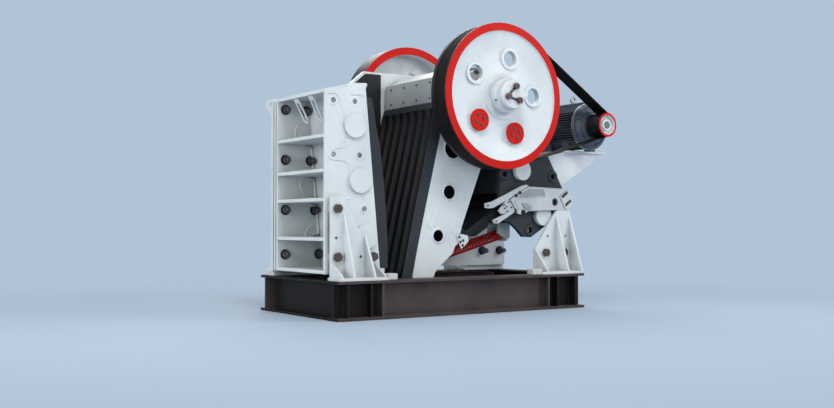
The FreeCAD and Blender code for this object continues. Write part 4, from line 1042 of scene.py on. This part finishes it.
@dataclass
class SwingJaw:
    """Swing jaw casting with its die, clamp bar, guard and retaining plate."""

    holes: tuple[Point, ...] = ((-0.335, -0.915, 0.067), (-0.468, -1.340, 0.058), (-0.290, -0.490, 0.095))
    bosses: tuple[Point, ...] = ((-0.552, -1.208, 0.057), (-0.257, -1.273, 0.058))
    keeper_bolts: tuple[Pair, ...] = ((-0.222, -1.352), (-0.176, -1.386), (-0.208, -1.400), (-0.182, -1.434))

    def _hole_shade(self, centres: np.ndarray, normals: np.ndarray) -> np.ndarray:
        """Painted shade, black, in the core holes and on the faces turned to the toggle; white elsewhere."""
        in_shade = (normals[:, 0] > 0.3) & (centres[:, 2] < HUB[1] - 0.45)
        for x, z, radius in self.holes:
            away = np.hypot(centres[:, 0] - HUB[0] - x, centres[:, 2] - HUB[1] - z)
            in_shade |= (away < radius + 0.002) & (np.abs(normals[:, 1]) < 0.5)
        return in_shade

    def build(self) -> None:
        """Dress the casting and put on its rings, bosses and bolted plates."""
        jaw = "swing_jaw"
        # Painted shade in the core holes and on the faces turned to the toggle.
        dressed(jaw, [WHITE, SHADED_SLATE], 0.006, self._hole_shade, jaw)
        dressed("jaw_keeper_plate", [WHITE], 0.002, body=jaw)
        # The guard wears the darker grey: the shade that falls on it is painted in.
        dressed("jaw_guard", [SHADED], 0.002, body=jaw)
        dressed("die_clamp_bar", [GROUND], body=jaw)
        JawDie().build("moving_jaw_die", jaw, -1.0)
        near = corners(jaw)[0][1]
        parts = []
        for x, z, r in self.holes:
            lip = ring([(r - 0.001, 0.0), (r - 0.001, 0.004), (r + 0.006, 0.009), (r + 0.014, 0.007),
                        (r + 0.020, 0.0)], 56)
            parts += laid(lip, [(x, z)], HUB, near, Axis.NEAR)
        for x, z, r in self.bosses:
            boss = turned([(0.0, 0.0), (r, 0.0), (r - 0.003, 0.004), (0.0, 0.004)], 48)
            parts += laid(boss, [(x, z)], HUB, near, Axis.NEAR)
        piece_of("jaw_rings", parts, WHITE, body=jaw)
        keeper = corners("jaw_keeper_plate")[0][1]
        dot = hex_bolt(0.0095, 0.006, 0.013, 0.002)
        piece_of("keeper_bolts", laid(dot, self.keeper_bolts, HUB, keeper, Axis.NEAR), JET, body=jaw)
        low, high = corners("jaw_guard")
        screw = cap_screw(0.009, 0.006)
        screws = [screw.moved((low[0] + 0.001, across, up), Axis.LEFT)
                  for across in np.linspace(low[1] + 0.12, high[1] - 0.12, 4)
                  for up in (low[2] + 0.045, high[2] - 0.055)]
        piece_of("guard_screws", screws, JET, body=jaw)


# ---------------------------------------------------------------- toggle group


@dataclass
class ToggleGroup:
    """Toggle plate, seats, wedges and the adjuster's arms and guides."""

    arm: float = 0.030
    guide: float = 0.018
    end_plate: float = 0.026
    proud: float = 0.007
    eye: Point = (-0.185, 0.732, 0.040)
    lug: Pair = (-0.605, 0.620)
    arm_bolts: tuple[Pair, ...] = ((-0.650, 0.821), (-0.700, 0.792))
    guide_dots: tuple[Pair, ...] = ((-0.784, 0.726), (-0.752, 0.672), (-0.837, 0.661), (-0.805, 0.634),
                                    (-0.846, 0.694), (-0.810, 0.679))
    tip_dots: tuple[Pair, ...] = ((-1.055, 0.688), (-0.952, 0.532))
    left: tuple[Pair, ...] = ((-0.185, 0.652), (-0.505, 0.640), (-0.560, 0.646), (-0.672, 0.662),
                              (-0.722, 0.742), (-0.312, 0.784), (-0.342, 0.868), (-0.185, 0.870))
    right: tuple[Pair, ...] = ((-0.185, 0.870), (-0.088, 0.868), (-0.030, 0.858), (-0.125, 0.792),
                               (-0.068, 0.684), (-0.136, 0.654), (-0.185, 0.652))
    catch: tuple[Pair, ...] = ((-0.630, 0.716), (-0.560, 0.706), (-0.515, 0.690), (-0.498, 0.665),
                               (-0.520, 0.640), (-0.560, 0.655), (-0.600, 0.668), (-0.618, 0.690),
                               (-0.630, 0.716))
    # Outline of a thin sheet that carries the painted shade of each arm's upper flank.
    flank: tuple[Pair, ...] = ((-0.665, 0.765), (-0.320, 0.795), (-0.346, 0.862), (-0.530, 0.864),
                               (-0.615, 0.822))
    slots: tuple[Pair, ...] = ((-0.105, 0.788), (-0.055, 0.694), (-0.020, 0.668), (0.064, 0.742),
                               (-0.004, 0.856))

    def build(self) -> None:
        """Dress the toggle group and build the details of both arms."""
        # The toggle parts wear slate darkened with the interior's painted shade.
        dressed("toggle_plate", [SHADED_SLATE], 0.003, body="toggle")
        dressed("toggle_seat_lower", [SHADED_SLATE], body="swing_jaw")
        dressed("toggle_seat_upper adjusting_wedges", [SHADED_SLATE])
        for label, side, axis in SIDES:
            dressed(f"adjuster_arm_{label} arm_end_plate_{label} wedge_guide_{label}", [GREY], 0.003)
            self._arm(label, side, axis)

    def _arm(self, label: str, side: int, axis: Axis) -> None:
        """Proud face plate in two halves round the eye, lug, bolts; painted shade on flank, catch, slots and
        eye.

        Args:
            label: side of the machine, for the names.
            side: sign of Y on that side.
            axis: direction that looks away from the machine.
        """
        face = CHEEK_FACE + self.arm

        def layer(outline: Sequence[Pair], start: float, thick: float) -> Surface:
            """Flat outline, given from the rear casting's corner, laid on the arm."""
            low, high = sorted((side * start, side * (start + thick)))
            return plate(np.array(outline) + REAR, low, high)

        def dots(part: Surface, spots: Sequence[Pair], distance: float) -> list[Surface]:
            """Copies of a part at a distance from the mid plane."""
            return laid(part, spots, REAR, side * distance, axis)

        x, z, radius = self.eye
        turn = np.linspace(-math.pi / 2, math.pi / 2, 17)
        arc = radius * np.stack([np.cos(turn), np.sin(turn)], axis=1)
        # Painted shade: a thin sheet on the flank and the catch wear the darker grey.
        catch = rounded_line(self.catch, 0.014)[:-1]
        shaded = [layer(self.flank, face, 0.002), layer(catch, face + self.proud, 0.012)]
        piece_of("arm_flank_" + label, shaded, SHADED, 0.001)
        collar = ring([(radius, 0.0), (radius, 0.004), (radius + 0.010, 0.004), (radius + 0.012, 0.0)], 48)
        plates = [layer(np.concatenate([self.left, (x, z) - arc]), face, self.proud),
                  layer(np.concatenate([self.right, (x, z) + arc]), face, self.proud)]
        piece_of("arm_face_" + label, plates + dots(collar, [(x, z)], face + self.proud), GREY, 0.0018)
        # Painted shade: dark sheets behind the slots and in the eye stand for the shade seen through them.
        eye = dots(disc(radius - 0.002, 0.003, 40), [(x, z)], CHEEK_FACE + 0.012)
        piece_of("arm_slot_backing_" + label, [layer(self.slots, CHEEK_FACE + 0.001, 0.004)] + eye, JET)
        dot = cap_screw(0.0085, 0.006)
        parts = dots(hex_bolt(0.017, 0.012), self.arm_bolts, face)
        parts += dots(dot, self.guide_dots, CHEEK_FACE + self.guide)
        parts += dots(dot, self.tip_dots, CHEEK_FACE + self.end_plate)
        parts += dots(hex_bolt(0.020, 0.010, 0.028, 0.004), [self.lug], face)
        piece_of("arm_bolts_" + label, parts, JET, 0.0008)


# ---------------------------------------------------------------- tension rod and spring


@dataclass
class TensionGear:
    """Coil spring on its rod, between the swing jaw's lug and its seat."""

    wire: float = 0.009
    coil: float = 0.0575
    pitch: float = 0.033
    tilt: float = math.radians(15.4)
    foot: Pair = (-0.197, -1.571)
    length: float = 0.898
    per_turn: int = 18
    clear: float = 0.0006

    def build(self) -> None:
        """Dress the rod and the seat and wind the spring.

        Wire centre = start + s * ahead + reach * (cos a * lift + sin a * far); s grows evenly with a.
        """
        dressed("tension_rod", [TURNED], 0.002, body="swing_jaw")
        dressed("spring_seat", [WHITE])
        run = self.length - 2 * self.wire
        turns = run / self.pitch
        count = int(turns * self.per_turn)
        angle = np.linspace(0.0, turns * math.tau, count)
        along = self.wire + np.linspace(0.0, run, count) + self.clear
        reach = self.coil - self.wire - 0.0005
        ahead = np.array([math.cos(self.tilt), 0.0, math.sin(self.tilt)])
        lift = np.array([-math.sin(self.tilt), 0.0, math.cos(self.tilt)])
        start = np.array([HUB[0] + self.foot[0], 0.0, HUB[1] + self.foot[1]])
        side = np.cos(angle)[:, None] * lift + np.sin(angle)[:, None] * np.array(Axis.FAR.value)
        path = start + along[:, None] * ahead + reach * side
        wire = carried(circle(self.wire, 9), path, side, ahead, False)
        made = piece_of("tension_spring_coil", [wire], WIRE, body=None, stands_for="tension_spring")
        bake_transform(made)


# ---------------------------------------------------------------- motor and drive


@dataclass
class MotorDrive:
    """Motor with its fins, pulley, belt and bracket."""

    core: float = 0.206
    fin_radius: float = 0.238
    fin_pitch: float = 0.026
    fin_half: float = 0.004
    fin_sink: float = 0.006
    rail_half: float = 0.070
    rail_rise: float = 0.024
    rail_bevel: float = 0.006
    foot_half: float = 0.039
    foot_long: float = 0.090
    web_half: float = 0.013
    feet: Pair = (-0.189, 0.189)
    foot_starts: Pair = (0.130, 0.410)
    grille: float = 0.198
    belt_ribs: int = 7
    belt_thick: float = 0.012
    big_steps: int = 96
    small_steps: int = 32

    def build(self) -> None:
        """Dress the drive and add fins, rings, ribs, foot bolts and the eye bolt."""
        dressed("motor_front_bell", [MOTOR], 0.003)
        dressed("motor_fan_cowl", [MOTOR], 0.006)
        dressed("terminal_box", [MOTOR], 0.008)
        dressed("motor_shaft", [TURNED], 0.002, body="motor_rotor")
        dressed("motor_pulley", [WHITE, RED, BLACK, TURNED], 0.0025, self._pulley_finish, "motor_rotor")
        dressed("motor_bracket", [WHITE])
        self._finned_body()
        self._bell()
        self._cowl()
        self._fixings()
        self._terminal_lid()
        self._belt()

    def _pulley_finish(self, centres: np.ndarray, normals: np.ndarray) -> np.ndarray:
        """Red ring on the outer face, white recess, turned hub, black belt seat."""
        low, high = corners("motor_pulley")
        radius = np.hypot(centres[:, 0] - MOTOR_AXIS[0], centres[:, 2] - MOTOR_AXIS[2])
        edge = (high[0] - low[0]) / 2
        red = (centres[:, 1] < low[1] + 0.001) & (radius > edge - 0.030)
        hub = (centres[:, 1] < low[1] + 0.0395) & (radius < 0.038)
        seat = (radius > edge - 0.024) & ~red
        return np.where(red, 1, np.where(hub, 3, np.where(seat, 2, 0)))

    def _finned_body(self) -> None:
        """Core with level fins on both flanks, upright fins above and below, a plain top rail and feet.

        A fin's outline starts just inside the core circle and ends on the fin circle: at height z its two
        ends lie at sqrt(r * r - z * z) for the two radii.
        """
        low, high = corners("motor_frame")
        start, end, floor = low[1] + 0.001, high[1] - 0.001, low[2]
        centre = np.array(MOTOR_CENTRE)
        parts = [disc(self.core, end - start, 96).moved((centre[0], start, centre[1]), Axis.FAR)]
        half, tip = self.fin_half, self.fin_half * 0.6
        for step in np.arange(-6, 7) * self.fin_pitch:
            inner = math.sqrt(self.core ** 2 - step ** 2) - self.fin_sink
            outer = math.sqrt(self.fin_radius ** 2 - step ** 2)
            for side in (-1, 1):
                fin = np.array([(side * inner, step - half), (side * outer, step - tip),
                                (side * outer, step + tip), (side * inner, step + half)])
                parts.append(plate(centre + fin, start, end))
                if abs(step) > self.rail_half:
                    parts.append(plate(centre + fin[:, ::-1], start, end))
        wide, foot, bevel = self.rail_half, self.core - 0.02, self.rail_bevel
        top = self.fin_radius + self.rail_rise
        rail = [(-wide, foot), (wide, foot), (wide, top - bevel), (wide - bevel, top), (bevel - wide, top),
                (-wide, top - bevel)]
        parts.append(plate(centre + rail, start, end))
        for foot in self.feet:
            middle_x, web = centre[0] + foot, centre[0] + foot - math.copysign(0.026, foot)
            sole = (middle_x - self.foot_half, middle_x + self.foot_half)
            rib = (web - self.web_half, web + self.web_half)
            for along in self.foot_starts:
                span = (low[1] + along, low[1] + along + self.foot_long)
                parts.append(block(sole, (floor, floor + 0.024), span))
                parts.append(block(rib, (floor + 0.02, floor + 0.12), span))
        piece_of("motor_finned_body", parts, MOTOR, 0.0012, stands_for="motor_frame")

    def _bell(self) -> None:
        """Pale clamp ring on the bell, ribs and two rings on its cone, and the bearing cover with screws."""
        low, high = corners("motor_front_bell")
        x0, z0 = MOTOR_CENTRE
        band = ring([(0.2445, 0.0), (0.2475, 0.001), (0.2475, 0.009), (0.2445, 0.010)], 96)
        piece_of("motor_bell_band", [band.moved((x0, high[1] - 0.016, z0), Axis.FAR)], ZINC)
        ribs = []
        section = np.array([(-0.007, -0.012), (0.007, -0.012), (0.005, 0.010), (-0.005, 0.010)])
        for turn in around(8) + math.tau / 16:
            ahead = np.array([math.cos(turn), 0.0, math.sin(turn)])
            across = np.array([-math.sin(turn), 0.0, math.cos(turn)])
            path = np.array([(x0, 0.0, z0)]) + np.array([0.176, 0.196, 0.236])[:, None] * ahead
            path[:, 1] = low[1] + np.array([0.026, 0.044, 0.056])
            ribs.append(carried(section, path, across, np.array(Axis.NEAR.value), False))
        for radius, thick, deep in ((0.158, 0.011, 0.016), (0.214, 0.008, 0.046)):
            ribs.append(tube_along(loop_path((x0, low[1] + deep, z0), radius, 96), thick, 10, True))
        piece_of("motor_bell_ribs", ribs, MOTOR, 0.002)
        cover = ring([(0.060, 0.0), (0.104, 0.0), (0.108, 0.004), (0.108, 0.008), (0.060, 0.008)], 64)
        piece_of("motor_bearing_cover", [cover.moved((x0, low[1] + 0.001, z0), Axis.NEAR)], MOTOR, 0.001)
        screws = laid(cap_screw(0.008, 0.008), circle(0.092, 6), MOTOR_CENTRE, low[1] - 0.0065, Axis.NEAR)
        piece_of("motor_cover_screws", screws, ZINC)

    def _cowl(self) -> None:
        """Ringed grille with four spokes over a dark disc on the fan cowl."""
        end = corners("motor_fan_cowl")[1][1]
        x0, z0 = MOTOR_CENTRE
        back = disc(0.196, 0.0012, 64).moved((x0, end, z0), Axis.FAR)
        piece_of("cowl_grille_shade", [back], JET)
        hub = np.array([x0, end + 0.003, z0])
        wires = [tube_along(loop_path(hub, radius, 64), 0.0028, 8, True)
                 for radius in np.arange(0.030, 0.200, 0.018)]
        for turn in np.arange(4) * math.pi / 4:
            reach = self.grille * np.array([math.cos(turn), 0.0, math.sin(turn)])
            wires.append(tube_along(np.stack([hub - reach, hub, hub + reach]), 0.0035, 8, False))
        piece_of("cowl_grille", wires, MOTOR)

    def _fixings(self) -> None:
        """Eye bolt on the rail, and foot bolts."""
        x0, z0 = MOTOR_CENTRE
        _, start, floor = corners("motor_frame")[0]
        top, eye_y = z0 + self.fin_radius + self.rail_rise, start + 0.230
        stem = turned([(0.0, 0.0), (0.026, 0.0), (0.026, 0.006), (0.012, 0.010), (0.012, 0.018),
                       (0.0, 0.018)], 32)
        eye = tube_along(loop_path((x0, eye_y, top + 0.046), 0.032, 32), 0.0095, 12, True)
        piece_of("motor_eye_bolt", [eye, stem.moved((x0, eye_y, top - 0.001), Axis.UP)], ZINC)
        head = hex_bolt(0.017, 0.012, 0.022, 0.004)
        half = self.foot_long / 2
        heads = [head.moved((x0 + foot + math.copysign(0.012, foot), start + along + half, floor + 0.024))
                 for foot in self.feet for along in self.foot_starts]
        piece_of("motor_foot_bolts", heads, OXIDE, 0.0008)

    def _terminal_lid(self) -> None:
        """Lid of the terminal box with a screw in each corner."""
        low, high = corners("terminal_box")
        centre = (low + high) / 2
        path = np.array([(high[0], centre[1], centre[2]), (high[0] + 0.006, centre[1], centre[2])])
        rim = box_outline(*((high - low) / 2 - 0.008)[1:])
        lid = carried(rim, path, np.array(Axis.FAR.value), np.array(Axis.UP.value), False)
        piece_of("terminal_box_lid", [lid], MOTOR, 0.003)
        screw = cap_screw(0.007, 0.006)
        x0, y0, z0 = path[1]
        screws = [screw.moved((x0, y0 + y, z0 + z), Axis.RIGHT) for y, z in rim * 0.86]
        piece_of("terminal_box_screws", screws, ZINC)

    def _belt(self) -> None:
        """Ribbed belt round both seats: arcs on the seats joined by straight runs, ribs across its width."""
        low, high = corners("drive_belt")
        shaft, motor = np.array(HUB), np.array(MOTOR_CENTRE)
        big = shaft[0] - low[0] - self.belt_thick
        small = high[0] - motor[0] - self.belt_thick
        run = motor - shaft
        toward = math.atan2(run[1], run[0])
        spread = math.acos((big - small) / np.linalg.norm(run))
        counts = (self.big_steps, self.small_steps)
        angle = np.concatenate([np.linspace(toward + spread, toward + math.tau - spread, counts[0]),
                                np.linspace(toward - spread, toward + spread, counts[1])])
        radius = np.repeat([big, small], counts)
        centre = np.repeat([shaft, motor], counts, axis=0)
        level = np.zeros(len(angle))
        out = np.stack([np.cos(angle), level, np.sin(angle)], axis=1)
        path = np.stack([centre[:, 0], level, centre[:, 1]], axis=1) + radius[:, None] * out
        step = (high[1] - low[1]) / self.belt_ribs
        shoulder, crown = self.belt_thick - 0.003, self.belt_thick - 0.0004
        outline = [(low[1], 0.0)]
        for start in low[1] + np.arange(self.belt_ribs) * step:
            outline += [(start + 0.0005, shoulder), (start + 0.003, crown), (start + step - 0.003, crown),
                        (start + step - 0.0005, shoulder)]
        outline.append((high[1], 0.0))
        belt = carried(np.array(outline), path, np.array(Axis.FAR.value), out, True)
        piece_of("drive_belt_ribbed", [belt], BELT, stands_for="drive_belt")


# ---------------------------------------------------------------- studio


@dataclass
class Studio:
    """Pale floor, soft light and the camera at the machine's front near corner."""

    eye: Point = (-5.7879, -8.4369, 0.839)
    heading: float = math.radians(33.99)
    pitch: float = math.radians(1.23)
    lens: float = 43.546
    aim: Point = (0.1, 0.0, 1.3)
    sky: str = "#E2E6EA"
    sky_strength: float = 0.60
    backdrop: str = "#B1C3D6"
    fade: Pair = (2.2, 6.8)
    floor_radius: float = 60.0

    def build(self) -> None:
        """Set the camera, the lights, the sky and the floor."""
        data = bpy.data.cameras.new("camera")
        data.lens = self.lens
        data.sensor_width = 36.0
        camera = linked("camera", data)
        ahead = Vector((math.sin(self.heading) * math.cos(self.pitch),
                        math.cos(self.heading) * math.cos(self.pitch), math.sin(self.pitch)))
        self._aimed(camera, self.eye, ahead)
        bpy.context.scene.camera = camera
        self._sky()
        self._lamp("key_light", (-2.6, -5.6, 9.2), 3.0, 385.0, "#FFFEFC")
        self._lamp("fill_light", (-3.0, -11.0, 2.4), 5.0, 260.0, "#FBFBFA")
        self._lamp("side_light", (5.6, -6.2, 5.0), 3.0, 230.0, "#FBFBFA")
        self._lamp("front_light", (-9.5, -1.5, 2.6), 4.0, 340.0, "#FBFAF6")
        self._lamp("back_light", (3.0, 7.5, 7.0), 5.0, 310.0, "#F8FAFB")
        self._floor()

    def _aimed(self, thing: bpy.types.Object, place: Point, ahead: Vector) -> None:
        """Put a lamp or the camera in its place, looking ahead."""
        thing.location = place
        thing.rotation_euler = ahead.to_track_quat("-Z", "Y").to_euler()

    def _sky(self) -> None:
        """Even pale surround that lights the machine, shown to the camera as the plain backdrop."""
        world = bpy.data.worlds.new("surround")
        bpy.context.scene.world = world
        world.use_nodes = True
        tree = world.node_tree
        tree.nodes.clear()
        seen = node(tree, "LightPath").outputs["Is Camera Ray"]
        soft = node(tree, "Background", None, {"Color": linear(self.sky), "Strength": self.sky_strength})
        shown = node(tree, "Background", None, {"Color": linear(self.backdrop), "Strength": 1.0})
        both = node(tree, "MixShader", {0: seen, 1: soft.outputs[0], 2: shown.outputs[0]})
        node(tree, "OutputWorld", {"Surface": both.outputs[0]})

    def _lamp(self, name: str, place: Point, size: float, power: float, colour: str) -> None:
        """Square soft light that looks at the machine's middle.

        Args:
            name: the light's name.
            place: where it hangs.
            size: length of its side.
            power: in watts.
            colour: sRGB hex colour.
        """
        data = bpy.data.lights.new(name, "AREA")
        data.size = size
        data.energy = power
        data.color = linear(colour)[:3]
        self._aimed(linked(name, data), place, Vector(self.aim) - Vector(place))

    def _floor(self) -> None:
        """Wide round floor of pale screed."""
        wide = self.floor_radius
        slab = turned([(0.0, -0.02), (wide, -0.02), (wide, -0.0005), (0.0, -0.0005)], 96)
        mesh = bpy.data.meshes.new("floor")
        mesh.from_pydata(slab.points.tolist(), [], slab.faces)
        clean(mesh)
        mesh.materials.append(self._screed())
        linked("floor", mesh)

    def _screed(self) -> bpy.types.Material:
        """Screed that fades into the backdrop's colour with distance, so no horizon shows."""
        made = SCREED.material()
        tree = made.node_tree
        out = next(n for n in tree.nodes if n.type == "OUTPUT_MATERIAL")
        ground = out.inputs["Surface"].links[0].from_socket
        place = node(tree, "TexCoord").outputs["Object"]
        away = node(tree, "VectorMath", {0: place}, operation="LENGTH").outputs["Value"]
        share = node(tree, "MapRange", {"Value": away}, {"From Min": self.fade[0], "From Max": self.fade[1]},
                     interpolation_type="SMOOTHSTEP")
        glow = node(tree, "Emission", None, {"Color": linear(self.backdrop), "Strength": 1.0})
        mixed = node(tree, "MixShader", {0: share.outputs[0], 1: ground, 2: glow.outputs[0]})
        tree.links.new(mixed.outputs[0], out.inputs["Surface"])
        return made


def main() -> None:
    """Build every group in order and note how each one went."""
    logging.basicConfig(level=logging.INFO, format="%(message)s")
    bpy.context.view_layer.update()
    for group in (Studio(), BaseFrame(), FixedJaw(), CheekPlate(), RearCasting(), Wheels(), SwingJaw(),
                  ToggleGroup(), TensionGear(), MotorDrive()):
        group.build()
        log.info("built %s", type(group).__name__)
    bpy.context.scene.view_settings.view_transform = "Standard"


if __name__ == "__main__":
    main()
